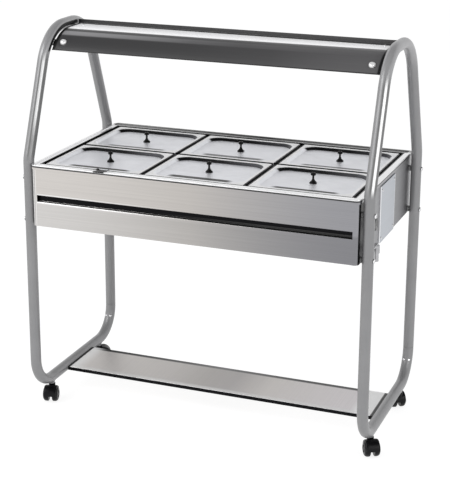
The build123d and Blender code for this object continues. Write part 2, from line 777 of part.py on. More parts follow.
# Brackets that carry the canopy from the two hoops
with BuildPart() as canopy_brackets:
    for side in sides.values():
        bend_middle = side * (bend_bracket_reach - bracket_length / 2)
        with BuildSketch(bend_plane(bend_middle, bracket_level)):
            Rectangle(bracket_length, bracket_width)
            with Locations((side * cap_x - bend_middle, 0)):
                Circle(cap_stud_radius + bore_clearance, mode=Mode.SUBTRACT)
        extrude(amount=-bracket_sheet)
        top_middle = side * (top_bracket_reach - bracket_length / 2)
        with BuildSketch(Plane.XY.offset(canopy_under)):
            with Locations((top_middle, top_bracket_y)):
                Rectangle(bracket_length, bracket_width)
            with Locations((side * cap_x, top_bracket_y)):
                Circle(screw_radius + screw_hole_gap, mode=Mode.SUBTRACT)
        extrude(amount=-bracket_sheet)
save(canopy_brackets.part, "canopy_brackets")

# Domed cap nuts on the canopy's front corners, each on a stud with a nut behind the bracket
bracket_back = canopy_radius + seat_gap - bracket_level + bracket_sheet
with BuildPart() as cap_nut:
    Cylinder(cap_nut_radius, cap_nut_height, align=(Align.CENTER, Align.CENTER, Align.MIN))
    fillet(cap_nut.edges().group_by(Axis.Z)[-1], cap_nut_height * 0.85)
    Cylinder(
        cap_stud_radius,
        bracket_back + nut_height,
        align=(Align.CENTER, Align.CENTER, Align.MAX),
    )
    with BuildSketch(Plane.XY.offset(-bracket_back)):
        RegularPolygon(cap_stud_radius * 2, 6)
        Circle(cap_stud_radius + running_gap, mode=Mode.SUBTRACT)
    extrude(amount=-nut_height * 0.7)
with BuildPart() as canopy_cap_nuts:
    for side in sides.values():
        with Locations(Location(bend_plane(side * cap_x, canopy_radius + seat_gap))):
            add(cap_nut.part)
save(canopy_cap_nuts.part, "canopy_cap_nuts")

# Lamp under the flat of the canopy: channel housing, tube in two holders, and a diffuser
housing_x = canopy_x - lamp_housing_end_inset
lamp_tube_length = 2 * (housing_x - lamp_end_room)
housing_roof = canopy_under - lamp_sheet
housing_bottom = canopy_under - lamp_housing_height
lamp_level = canopy_under - lamp_tube_drop
with BuildPart() as lamp_housing:
    with BuildSketch(Plane.XY.offset(canopy_under)):
        with Locations((0, lamp_y)):
            Rectangle(2 * housing_x, lamp_housing_width)
    extrude(amount=-lamp_housing_height)
    with BuildSketch(Plane.XY.offset(housing_roof)):
        with Locations((0, lamp_y)):
            Rectangle(2 * (housing_x - lamp_sheet), lamp_housing_width - 2 * lamp_sheet)
    extrude(amount=-lamp_housing_height, mode=Mode.SUBTRACT)
save(lamp_housing.part, "lamp_housing")
with BuildPart() as lamp_tube:
    with BuildSketch(side_plane(-lamp_tube_length / 2)):
        with Locations((lamp_y, lamp_level)):
            Circle(lamp_tube_radius)
    extrude(amount=lamp_tube_length)
save(lamp_tube.part, "lamp_tube")
with BuildPart() as lamp_holders:
    for side in sides.values():
        holder_middle = side * (lamp_tube_length + lamp_holder_size) / 2
        with BuildSketch(Plane.XY.offset(housing_roof)):
            with Locations((holder_middle, lamp_y)):
                Rectangle(lamp_holder_size, lamp_holder_size)
        extrude(amount=-lamp_holder_depth)
    fillet(lamp_holders.edges().filter_by(Axis.Z), 2)
save(lamp_holders.part, "lamp_holders")
with BuildPart() as lamp_diffuser:
    with BuildSketch(Plane.XY.offset(housing_bottom)):
        with Locations((0, lamp_y)):
            RectangleRounded(2 * housing_x, lamp_housing_width, 2)
    extrude(amount=-diffuser_thickness)
save(lamp_diffuser.part, "lamp_diffuser")

# Bottom shelf: a tray turned down on all sides with hems, screwed to the lower rails
shelf_x = frame_x - tube_radius - shelf_end_gap
shelf_screw_places = [end * shelf_screw_spacing / 2 for end in ends.values()]
with BuildPart() as bottom_shelf:
    with BuildSketch(Plane.XY.offset(shelf_top)):
        Rectangle(2 * shelf_x, shelf_width)
    extrude(amount=-shelf_flange)
    fillet(bottom_shelf.edges().filter_by(Axis.X).group_by(Axis.Z)[-1], shelf_sheet)
    with BuildSketch(Plane.XY.offset(shelf_top - shelf_sheet)):
        Rectangle(2 * (shelf_x - shelf_sheet), shelf_width - 2 * shelf_sheet)
    extrude(amount=shelf_sheet * 2 - shelf_flange, mode=Mode.SUBTRACT)
    with BuildSketch(Plane.XY.offset(shelf_top - shelf_flange)):
        Rectangle(2 * (shelf_x - shelf_sheet), shelf_width - 2 * shelf_hem)
    extrude(amount=shelf_sheet, mode=Mode.SUBTRACT)
    for side in sides.values():
        with BuildSketch(side_plane(side * shelf_x)):
            with Locations(*[(place, shelf_screw_z) for place in shelf_screw_places]):
                Circle(screw_radius + screw_hole_gap)
        extrude(amount=-side * 2 * shelf_sheet, mode=Mode.SUBTRACT)
save(bottom_shelf.part, "bottom_shelf")

# Pan-head screws: hoop joints, service cover, shelf ends and canopy top
screw_places = [Location(plane) for side in sides.values() for plane in joint_planes(side)]
screw_places += [Location(Plane(origin=(cover_x, *place), z_dir=(1, 0, 0))) for place in cover_screw_places]
screw_places += [
    Location(Plane(origin=(side * (shelf_x - shelf_sheet), place, shelf_screw_z), z_dir=(-side, 0, 0)))
    for side in sides.values()
    for place in shelf_screw_places
]
screw_places += [Location((side * cap_x, top_bracket_y, canopy_top)) for side in sides.values()]
with BuildPart() as pan_head_screws:
    with Locations(*screw_places):
        add(screw.part)
save(pan_head_screws.part, "pan_head_screws")

# Bolts that hang the tank between the legs, with a spacer and a nut on each
bolt_seat = frame_x + tube_radius + seat_gap
bolt_reach = bolt_seat - casing_x + casing_sheet
with BuildPart() as bolt:
    Cylinder(bolt_head_radius, bolt_head_height, align=(Align.CENTER, Align.CENTER, Align.MIN))
    fillet(bolt.edges().group_by(Axis.Z)[-1], bolt_head_height * 0.7)
    Cylinder(
        bolt_radius, bolt_reach + nut_height + nut_tail, align=(Align.CENTER, Align.CENTER, Align.MAX)
    )
    with BuildSketch(Plane.XY.offset(-bolt_reach)):
        RegularPolygon(nut_across_flats / 2, 6, major_radius=False)
        Circle(bolt_radius + running_gap, mode=Mode.SUBTRACT)
    extrude(amount=-nut_height)
bolt_places = [
    (side, end * leg_y, z) for side in sides.values() for end in ends.values() for z in bolt_heights
]
with BuildPart() as tank_mount_bolts:
    for side, y, z in bolt_places:
        with Locations(Location(Plane(origin=(side * bolt_seat, y, z), z_dir=(side, 0, 0)))):
            add(bolt.part)
save(tank_mount_bolts.part, "tank_mount_bolts")
with BuildPart() as tank_mount_spacers:
    for side, y, z in bolt_places:
        with BuildSketch(side_plane(side * casing_x)):
            with Locations((y, z)):
                Circle(spacer_radius)
                Circle(bolt_radius + bore_clearance, mode=Mode.SUBTRACT)
        extrude(amount=side * (frame_x - tube_radius - casing_x - seat_gap))
save(tank_mount_spacers.part, "tank_mount_spacers")

# Caster sockets: collars that hold the stems, saddled to the rails above them
caster_places = [(row, column) for row in ends for column in sides]
with BuildPart() as caster_sockets:
    for row, column in caster_places:
        with BuildSketch(Plane.XY.offset(caster_top + face_gap)):
            with Locations((sides[column] * frame_x, ends[row] * caster_y)):
                Circle(socket_radius)
                Circle(stem_radius + running_gap, mode=Mode.SUBTRACT)
        extrude(amount=rail_height - caster_top - tube_radius / 2)
    for side in sides.values():
        with BuildSketch(Plane.XZ.offset(-leg_y)):
            with Locations((side * frame_x, rail_height)):
                Circle(tube_radius + running_gap)
        extrude(amount=2 * leg_y, mode=Mode.SUBTRACT)
save(caster_sockets.part, "caster_sockets")

# One swivel caster about its stem: hooded web housing and twin wheels on their axle
wheel_inner_x = caster_web / 2 + wheel_side_gap
wheel_plane = Plane(origin=(0, caster_trail, wheel_radius), x_dir=(0, 1, 0), z_dir=(1, 0, 0))
fender_radius = wheel_radius + fender_gap


def wheel_envelope(gap):
    """The outline of both domed wheels together, grown by a gap."""
    half = wheel_inner_x + wheel_width + gap
    with BuildPart() as envelope:
        with BuildSketch(wheel_plane.offset(-half)):
            Circle(wheel_radius + gap)
        extrude(amount=2 * half)
        fillet(envelope.edges().filter_by(GeomType.CIRCLE), wheel_dome_radius + gap)
    return envelope.part


def off_middle(edge):
    """How far an edge's centre is from the caster's middle, along the axle."""
    return abs(edge.center().X)


with BuildPart() as hood:
    add(wheel_envelope(fender_gap + fender_wall))
    add(wheel_envelope(fender_gap), mode=Mode.SUBTRACT)
    with Locations((0, caster_trail, wheel_radius)):
        above_axle = (Align.CENTER, Align.CENTER, Align.MIN)
        Box(fender_width, 4 * fender_radius, 4 * fender_radius, align=above_axle, mode=Mode.INTERSECT)
with BuildPart() as housing:
    with BuildSketch(Plane.XY.offset(caster_top)):
        Circle(boss_radius)
    extrude(amount=-boss_height)
    add(wheel_envelope(fender_gap), mode=Mode.SUBTRACT)
    add(hood.part)
    with BuildSketch(wheel_plane.offset(-caster_web / 2)):
        Circle(fender_radius + fender_wall / 2)
        with Locations((0, -fender_radius)):
            Rectangle(4 * fender_radius, 2 * fender_radius, mode=Mode.SUBTRACT)
        Circle(web_hub_radius)
        Circle(axle_radius + running_gap, mode=Mode.SUBTRACT)
    extrude(amount=caster_web)
    with BuildSketch(Plane.XY.offset(caster_top)):
        Circle(stem_radius)
    extrude(amount=stem_length)
with BuildPart() as wheels:
    for side in sides.values():
        with BuildSketch(wheel_plane.offset(side * wheel_inner_x)):
            Circle(wheel_radius)
        extrude(amount=side * wheel_width)
    fillet(wheels.edges().filter_by(GeomType.CIRCLE).sort_by(off_middle)[-2:], wheel_dome_radius)
    fillet(wheels.edges().filter_by(GeomType.CIRCLE).sort_by(off_middle)[:2], wheel_edge_radius)
    for side in sides.values():
        with BuildSketch(wheel_plane.offset(side * (wheel_inner_x + wheel_width))):
            Circle(wheel_dish_radius)
            Circle(axle_radius * 2, mode=Mode.SUBTRACT)
        extrude(amount=-side * wheel_dish_depth, mode=Mode.SUBTRACT)
    with BuildSketch(wheel_plane.offset(-wheel_inner_x)):
        Circle(axle_radius)
    extrude(amount=2 * wheel_inner_x)
for row, column in caster_places:
    stem_place = (sides[column] * frame_x, ends[row] * caster_y, 0)
    turned = Location(stem_place, (0, 0, -caster_turn[f"{row}_{column}"]))
    with BuildPart() as caster_housing:
        with Locations(turned):
            add(housing.part)
    save(caster_housing.part, f"caster_housing_{row}_{column}")
    with BuildPart() as caster_wheels:
        with Locations(turned):
            add(wheels.part)
    save(caster_wheels.part, f"caster_wheels_{row}_{column}")

# Thermostat behind the right side panel, and its dial on the shaft outside
body_depth, body_width, body_height = thermostat_body_size
panel_back = casing_x - casing_sheet
dial_back = casing_x + dial_standoff
with BuildPart() as thermostat_body:
    with BuildSketch(side_plane(panel_back)):
        with Locations(control_places["dial"]):
            RectangleRounded(body_width, body_height, 3)
    extrude(amount=-body_depth)
    with BuildSketch(side_plane(panel_back)):
        with Locations(control_places["dial"]):
            Circle(dial_shaft_radius + running_gap)
    extrude(amount=-dial_shaft_length, mode=Mode.SUBTRACT)
save(thermostat_body.part, "thermostat_body")
with BuildPart() as thermostat_dial:
    with BuildSketch(side_plane(dial_back)):
        with Locations(control_places["dial"]):
            Circle(dial_radius)
    extrude(amount=dial_depth)
    fillet(thermostat_dial.edges().group_by(Axis.X)[-1], 3)
    with BuildSketch(side_plane(dial_back)):
        with Locations(control_places["dial"]):
            Circle(dial_skirt_radius)
    extrude(amount=dial_skirt_depth)
    with BuildSketch(side_plane(dial_back)):
        with Locations(control_places["dial"]):
            Circle(dial_shaft_radius)
    extrude(amount=-dial_shaft_length)
save(thermostat_dial.part, "thermostat_dial")

# Rocker switches: a housing through the panel and a rocker on pins in it
rocker_x = casing_x - rocker_inset
switch_body = (switch_bezel[0] - switch_wall - seat_gap, switch_bezel[1] - switch_wall - seat_gap)
switch_places = {"heat": control_places["heat_switch"], "light": control_places["light_switch"]}
with BuildPart() as switch_housings:
    for place in switch_places.values():
        with BuildSketch(side_plane(casing_x)):
            with Locations(place):
                RectangleRounded(*switch_bezel, 2)
        extrude(amount=switch_bezel_depth)
        with BuildSketch(side_plane(casing_x)):
            with Locations(place):
                Rectangle(*switch_body)
        extrude(amount=-switch_body_depth)
        with BuildSketch(side_plane(casing_x + switch_bezel_depth)):
            with Locations(place):
                Rectangle(*switch_cavity)
        extrude(amount=-switch_bezel_depth - switch_body_depth + switch_back, mode=Mode.SUBTRACT)
        with BuildSketch(Plane.XZ.offset(-place[0] - switch_body[0])):
            with Locations((rocker_x, place[1])):
                Circle(rocker_pin_radius + running_gap)
        extrude(amount=2 * switch_body[0], mode=Mode.SUBTRACT)
save(switch_housings.part, "switch_housings")
rocker_section = [(-3, -5), (2, -13), (6, -13), (4, 0), (6, 13), (2, 13), (-3, 5)]
for name, place in switch_places.items():
    with BuildPart() as rocker:
        with BuildSketch(Plane.XZ.offset(-place[0] - rocker_width / 2)):
            with Locations((rocker_x, place[1])):
                Polygon(*rocker_section, rotation=-rocker_tilt, align=None)
        extrude(amount=rocker_width)
        with BuildSketch(Plane.XZ.offset(-place[0] - rocker_width / 2 - rocker_pin_reach)):
            with Locations((rocker_x, place[1])):
                Circle(rocker_pin_radius)
        extrude(amount=rocker_width + 2 * rocker_pin_reach)
    save(rocker.part, f"{name}_rocker")

# Pilot lamp beside the switches
with BuildPart() as pilot_lamp:
    with BuildSketch(side_plane(casing_x)):
        with Locations(control_places["pilot"]):
            Circle(pilot_radius * 0.85)
    extrude(amount=pilot_dome_height)
    fillet(pilot_lamp.edges().group_by(Axis.X)[-1], pilot_dome_height * 0.7)
    with BuildSketch(side_plane(casing_x)):
        with Locations(control_places["pilot"]):
            Circle(pilot_bezel_radius)
    extrude(amount=switch_bezel_depth)
    with BuildSketch(side_plane(casing_x)):
        with Locations(control_places["pilot"]):
            Circle(pilot_radius)
    extrude(amount=-pilot_depth)
save(pilot_lamp.part, "pilot_lamp")

# Drain tap: pipe from the tub floor out through the panel, a body, a spout and a lever on its plug
tap_x = casing_x + tap_stand
tap_plane = Plane(origin=(0, tap_y, 0), x_dir=(1, 0, 0), z_dir=(0, -1, 0))
with BuildPart() as drain_tap_body:
    with BuildLine(tap_plane) as drain_path:
        FilletPolyline(
            (drain_x, tub_floor), (drain_x, tap_height), (tap_x, tap_height), radius=tap_bend_radius
        )
    with BuildSketch(Plane.XY.offset(tub_floor)):
        with Locations((drain_x, tap_y)):
            Circle(tap_stub_radius)
    sweep(path=drain_path.wires()[0])
    with BuildSketch(Plane.XY.offset(tub_floor)):
        with Locations((drain_x, tap_y)):
            Circle(tap_flange_radius)
    extrude(amount=-tap_flange_height)
    with BuildSketch(side_plane(casing_x)):
        with Locations((tap_y, tap_height)):
            Circle(tap_collar_radius)
    extrude(amount=tap_collar_depth)
    with BuildSketch(Plane.XY.offset(tap_height + tap_body_rise)):
        with Locations((tap_x, tap_y)):
            Circle(tap_body_radius)
    extrude(amount=-2 * tap_body_rise)
    with BuildSketch(Plane.XY.offset(tap_height)):
        with Locations((tap_x, tap_y)):
            Circle(tap_spout_radius)
    extrude(amount=tap_spout_bottom - tap_height)
    with BuildSketch(Plane.XY.offset(tub_floor)):
        with Locations((drain_x, tap_y)):
            Circle(tap_bore_radius)
    sweep(path=drain_path.wires()[0], mode=Mode.SUBTRACT)
    with BuildSketch(Plane.XY.offset(tap_height)):
        with Locations((tap_x, tap_y)):
            Circle(tap_bore_radius)
    extrude(amount=tap_spout_bottom - tap_height, mode=Mode.SUBTRACT)
    with BuildSketch(Plane.XY.offset(tap_height + tap_body_rise)):
        with Locations((tap_x, tap_y)):
            Circle(plug_radius + running_gap)
    extrude(amount=-tap_body_rise - plug_drop - face_gap, mode=Mode.SUBTRACT)
save(drain_tap_body.part, "drain_tap_body")
lever_bottom = tap_height + tap_body_rise + face_gap
with BuildPart() as drain_tap_lever:
    with BuildSketch(Plane.XY.offset(lever_bottom)):
        with Locations((tap_x, tap_y - (lever_length - lever_width) / 2)):
            RectangleRounded(lever_width, lever_length, lever_width * 0.45)
    extrude(amount=lever_thickness)
    fillet(drain_tap_lever.edges().group_by(Axis.Z)[-1], 1)
    with BuildSketch(Plane.XY.offset(lever_bottom)):
        with Locations((tap_x, tap_y)):
            Circle(plug_radius)
    extrude(amount=tap_height - plug_drop - lever_bottom)
    with BuildSketch(Plane.XY.offset(tap_height - plug_drop)):
        with Locations((tap_x, tap_y)):
            Circle(plug_port_radius)
    extrude(amount=plug_drop, mode=Mode.SUBTRACT)
    with BuildSketch(Plane.XZ.offset(-tap_y)):
        with Locations((tap_x, tap_height)):
            Circle(plug_port_radius)
    extrude(amount=-2 * plug_radius, mode=Mode.SUBTRACT)
save(drain_tap_lever.part, "drain_tap_lever")
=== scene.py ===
"""Looks for a heated buffet cart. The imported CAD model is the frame, and this adds finishes and detail."""

import json
import math

import bmesh
import bpy
from bpy.props import FloatProperty, FloatVectorProperty, IntProperty, PointerProperty
from bpy.types import NodeSocket, Operator, Panel, PropertyGroup
from mathutils import Matrix, Vector


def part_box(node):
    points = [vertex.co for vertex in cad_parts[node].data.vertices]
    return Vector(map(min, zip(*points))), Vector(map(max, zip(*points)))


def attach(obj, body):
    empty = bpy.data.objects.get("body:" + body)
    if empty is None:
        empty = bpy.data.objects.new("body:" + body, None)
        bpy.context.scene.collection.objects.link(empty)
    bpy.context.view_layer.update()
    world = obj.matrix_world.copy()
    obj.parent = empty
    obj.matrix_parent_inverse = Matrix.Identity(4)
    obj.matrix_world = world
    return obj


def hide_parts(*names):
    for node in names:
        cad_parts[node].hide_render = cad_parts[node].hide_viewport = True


bl_info = {
    "name": "Heated Buffet Cart",
    "version": (1, 0, 0),
    "blender": (4, 5, 0),
    "location": "3D View > Sidebar > Buffet Cart",
    "description": "Finishes and fine detail for a heated buffet cart",
    "category": "Object",
}

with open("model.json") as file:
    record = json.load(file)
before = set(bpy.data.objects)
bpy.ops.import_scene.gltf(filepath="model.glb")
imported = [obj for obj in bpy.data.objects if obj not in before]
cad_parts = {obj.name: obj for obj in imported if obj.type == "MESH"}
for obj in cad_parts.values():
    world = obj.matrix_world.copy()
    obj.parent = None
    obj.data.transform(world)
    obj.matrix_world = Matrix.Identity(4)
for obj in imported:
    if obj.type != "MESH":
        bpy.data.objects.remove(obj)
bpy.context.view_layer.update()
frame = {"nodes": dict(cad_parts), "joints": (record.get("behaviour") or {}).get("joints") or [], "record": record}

MM = 0.001
IMAGE_HEIGHT = 498
ROWS = ("front", "rear")
PAN_PLACES = [f"{row}_{column}" for row in ROWS for column in ("left", "middle", "right")]
CASTER_PLACES = [f"{row}_{side}" for row in ROWS for side in ("left", "right")]


def add_node(tree, kind, inputs=None, **settings):
    """Add a node with its settings, and link or set its inputs by name or number."""
    node = tree.nodes.new(kind)
    for name, value in settings.items():
        setattr(node, name, value)
    for socket, value in (inputs or {}).items():
        if isinstance(value, NodeSocket):
            tree.links.new(value, node.inputs[socket])
        else:
            node.inputs[socket].default_value = value
    return node


# Materials. Their zones are places on the cart in metres, on Object coordinates.

# BLACK paints shade in gaps, hollows, the groove and by the canopy, and colours the shelf's turned-down edge.
BLACK = (0.010, 0.010, 0.011)
ALONG_X = (1.5, 260, 260)  # stretch of grain that runs along X
ALONG_Y = (260, 1.5, 260)
TONE_REACH = 0.53  # half the length over which the painted light on the sheets changes
LEG_X = 0.546  # a leg's middle line
ROW_Y = 0.138  # the middle line of a row of lids
HALF_PITCH = 0.1665  # half the distance between the middles of two lids in a row
CANOPY_AXIS_Y, CANOPY_AXIS_Z = -0.0278, 1.083  # what the canopy's sheet is rolled round
DEGREES = 57.3  # in a radian


def srgb(*color):
    """A colour of 0 to 255 values as the linear colour that a shader takes."""
    return tuple(((c / 255 + 0.055) / 1.055) ** 2.4 if c > 10 else c / 255 / 12.92 for c in color)


def rgb(tone):
    """A colour's three numbers, from a colour or from one grey."""
    return (tone,) * 3 if isinstance(tone, float) else tuple(tone)


class Finish:
    """A material under construction: a Principled shader and short ways to feed it."""

    def __init__(self, name, color, metallic, roughness, **sockets):
        self.material = bpy.data.materials.new(name)
        self.material.use_nodes = True
        self.material.diffuse_color = (*color, 1)
        self.tree = self.material.node_tree
        self.shader = self.tree.nodes["Principled BSDF"]
        self.roughness = roughness
        sockets.update(Base_Color=(*color, 1), Metallic=metallic, Roughness=roughness)
        for socket, value in sockets.items():
            self.shader.inputs[socket.replace("_", " ")].default_value = value
        self.place = self.node("ShaderNodeTexCoord").outputs["Object"]
        self.axes = self.node("ShaderNodeSeparateXYZ", {0: self.place}).outputs

    def node(self, kind, inputs=None, **settings):
        """Add a node to the material."""
        return add_node(self.tree, kind, inputs, **settings)

    def axis(self, name):
        """One coordinate over the piece, in metres."""
        return self.axes[name]

    def far(self, name):
        """The distance from the middle plane along one axis."""
        return self.math("ABSOLUTE", self.axis(name))

    def along(self):
        """0 at the cart's left end to 1 at its right end."""
        return self.rise(self.axis("X"), -TONE_REACH, TONE_REACH)

    def noise(self, scale, detail=4.0, roughness=0.6, stretch=(1, 1, 1)):
        """Noise over the piece, stretched along an axis for brushed grain."""
        mapping = self.node("ShaderNodeMapping", {"Vector": self.place, "Scale": stretch})
        inputs = {"Vector": mapping.outputs[0], "Scale": scale, "Detail": detail, "Roughness": roughness}
        return self.node("ShaderNodeTexNoise", inputs).outputs["Fac"]

    def grain(self, stretch):
        """Long fine brushed grain."""
        return self.noise(1.0, 3, 0.7, stretch)

    def math(self, operation, *values):
        """One Math node."""
        return self.node("ShaderNodeMath", dict(enumerate(values)), operation=operation).outputs[0]

    def spread(self, value, low, high, start=0.0, end=1.0):
        """Spread a value smoothly from start..end onto low..high."""
        inputs = {"Value": value, "From Min": start, "From Max": end, "To Min": low, "To Max": high}
        return self.node("ShaderNodeMapRange", inputs, interpolation_type="SMOOTHSTEP").outputs["Result"]

    def rise(self, value, start, end, top=1.0):
        """0 up to the start, rising smoothly to the top at the end."""
        return self.spread(value, 0.0, top, start, end)

    def fall(self, value, start, end, top=1.0):
        """The top up to the start, falling smoothly to 0 at the end."""
        return self.spread(value, top, 0.0, start, end)

    def above(self, value, limit):
        """1 where a value is above a limit, and 0 elsewhere."""
        return self.math("GREATER_THAN", value, limit)

    def below(self, value, limit):
        """1 where a value is below a limit, and 0 elsewhere."""
        return self.math("LESS_THAN", value, limit)

    def inside(self, value, low, high):
        """1 where a value is between two numbers, and 0 elsewhere."""
        return self.all_of(self.above(value, low), self.below(value, high))

    def all_of(self, *masks):
        """1 where every mask is 1."""
        whole = masks[0]
        for mask in masks[1:]:
            whole = self.math("MULTIPLY", whole, mask)
        return whole

    def any_of(self, first, second):
        """1 where either mask is 1."""
        return self.math("MAXIMUM", first, second)

    def ramp(self, value, stops):
        """A colour ramp with stops of (place, colour)."""
        node = self.node("ShaderNodeValToRGB", {"Fac": value})
        points = node.color_ramp.elements
        while len(points) < len(stops):
            points.new(1.0)
        for point, (place, color) in zip(points, stops):
            point.position = place
            point.color = (*rgb(color), 1)
        return node.outputs["Color"]

    def mix(self, factor, first, second, blend="MIX"):
        """Mix two colours."""
        inputs = {"Factor": factor}
        for socket, value in ((6, first), (7, second)):
            inputs[socket] = value if isinstance(value, NodeSocket) else (*rgb(value), 1)
        return self.node("ShaderNodeMix", inputs, data_type="RGBA", blend_type=blend).outputs[2]

    def layers(self, color, *layers):
        """Lay tones over a colour, each by its own mask."""
        for mask, tone in layers:
            color = self.mix(mask, color, tone)
        return color

    def vary(self, color, value, amount):
        """Lighten and darken a colour by a value of 0 to 1."""
        shade = self.ramp(self.rise(value, 0.25, 0.75), [(0, 1 - amount), (1, 1 + amount)])
        return self.mix(1.0, color, shade, "MULTIPLY")

    def feed(self, name, value):
        """Link a value to one of the shader's sockets."""
        self.tree.links.new(value, self.shader.inputs[name])

    def paint(self, color):
        """Send a colour to the shader."""
        self.feed("Base Color", color)

    def rough(self, value, amount):
        """Vary the roughness by a value of 0 to 1."""
        low, high = max(0.02, self.roughness - amount), min(1, self.roughness + amount)
        self.feed("Roughness", self.spread(value, low, high, 0.25, 0.75))

    def bump(self, value, strength, distance=0.0002):
        """Raise the surface a little by a value."""
        inputs = {"Strength": strength, "Distance": distance, "Height": value}
        self.feed("Normal", self.node("ShaderNodeBump", inputs).outputs["Normal"])


def brushed(name, color, roughness, stretch=ALONG_X, amount=0.05, relief=0.12):
    """Brushed sheet metal: long fine grain, slow cloudiness and a little smear."""
    finish = Finish(name, color, 1.0, roughness)
    grain, cloud = finish.grain(stretch), finish.noise(3.5, 3, 0.55)
    finish.base = finish.vary(finish.vary(color, grain, amount), cloud, amount * 0.8)
    finish.paint(finish.base)
    finish.rough(finish.math("ADD", grain, 0.5), 0.08)
    finish.bump(grain, relief)
    return finish


def cloudy(name, color, metallic, roughness, clouds, smears, **sockets):
    """An unbrushed finish. Clouds and smears are each a noise's scale, its detail and the amount."""
    finish = Finish(name, color, metallic, roughness, **sockets)
    finish.paint(finish.vary(color, finish.noise(*clouds[:2]), clouds[2]))
    finish.rough(finish.noise(*smears[:2]), smears[2])
    return finish


def tube_finish(colors):
    """Satin aluminium lacquer: a lighter crown, a painted highlight streak and painted shade up the front
    uprights, and painted shade black by the canopy's ends.
    """
    finish = Finish("satin_tube_lacquer", colors.tube, 0.35, 0.38)
    height, far_x = finish.axis("Z"), finish.far("X")
    crown = finish.rise(height, 1.13, 1.18)
    over_deck = finish.math("SUBTRACT", finish.rise(height, 0.84, 0.87), crown)
    upright = finish.all_of(over_deck, finish.below(finish.axis("Y"), 0.0))
    off_axis = finish.math("SUBTRACT", far_x, LEG_X)
    rightward = finish.math("MULTIPLY", finish.math("SIGN", finish.axis("X")), off_axis)
    right_leg = finish.above(finish.axis("X"), 0.0)
    highlight_fade = finish.any_of(finish.spread(height, 0.2, 0.9, 0.90, 0.99), right_leg)
    line = finish.all_of(finish.rise(rightward, 0.0055, 0.0075), finish.fall(rightward, 0.0122, 0.0140))
    shade_by_canopy = finish.all_of(
        finish.below(far_x, 0.5303), finish.above(height, 1.166), finish.below(finish.axis("Y"), 0.045)
    )
    # Painted light: the right side of each front upright is painted darker as shade, a painted highlight streak
    # runs up it, and the tube is painted black as shade by the canopy's ends.
    tone = finish.layers(
        colors.tube,
        (crown, tuple(c * 1.27 for c in colors.tube)),
        (finish.all_of(upright, finish.rise(rightward, -0.001, 0.003)), 0.175),
        (finish.all_of(upright, highlight_fade, line), 0.84),
    )
    finish.paint(finish.mix(shade_by_canopy, finish.vary(tone, finish.noise(9, 4, 0.6), 0.05), BLACK))
    finish.rough(finish.noise(7, 2), 0.03)
    return finish.material


def apron_steel(finish, colors):
    """Steel in painted light: lighter and warmer at the left end, grey at the right, with painted shade below the
    groove.
    """
    along = finish.along()
    upper = finish.ramp(along, [(0, colors.apron_left), (0.5, colors.apron_middle), (1, colors.apron_right)])
    # Painted shade: below the groove the steel darkens towards the right.
    lower = finish.mix(1.0, upper, finish.ramp(along, [(0, (1, 1.02, 1.04)), (1, 0.76)]), "MULTIPLY")
    return finish.mix(finish.rise(finish.axis("Z"), 0.725, 0.735), lower, upper)


def apron_finish(colors):
    """Brushed aprons: painted highlights on the groove's lips, painted shade in the finger groove, on its lower
    edge and at the right end, and a folded left end painted lighter with a painted shade line at its fold.
    """
    finish = brushed("apron_brushed_steel", colors.apron_middle, 0.30)
    x, height = finish.axis("X"), finish.axis("Z")
    groove = finish.below(finish.far("X"), 0.5062)
    lit = finish.all_of(groove, finish.fall(x, -0.45, 0.05, 0.8))
    upper_lip_highlight = finish.all_of(lit, finish.inside(height, 0.7445, 0.7485))
    lower_lip_highlight = finish.all_of(lit, finish.inside(height, 0.7180, 0.7232))
    ledge = finish.all_of(groove, finish.inside(height, 0.7218, 0.7245), finish.rise(x, -0.3, 0.1))
    left_corner_light = finish.math("MULTIPLY", finish.below(x, -0.5085), 0.7)
    left_fold_shade = finish.inside(x, -0.5150, -0.5120)
    right_end_shade = finish.above(x, 0.5215)
    deep = finish.below(finish.far("Y"), 0.3045)
    groove_shade = finish.all_of(groove, deep, finish.inside(height, 0.7237, 0.7450))
    groove_floor_shade = finish.all_of(groove_shade, finish.below(height, 0.7295), finish.rise(x, -0.2, 0.3))
    # Painted light: highlights on the lips, shade in the groove, on its lower edge and at the right end, the left
    # corner painted lighter with a shade line at its fold.
    steel = finish.layers(
        finish.vary(apron_steel(finish, colors), finish.grain(ALONG_X), 0.05),
        (upper_lip_highlight, 0.86),
        (lower_lip_highlight, 0.86),
        (ledge, 0.05),
        (left_corner_light, (0.80, 0.79, 0.78)),
        (left_fold_shade, (0.40, 0.39, 0.38)),
        (right_end_shade, BLACK),
        (groove_shade, BLACK),
        (groove_floor_shade, 0.06),
    )
    finish.paint(steel)
    return finish.material


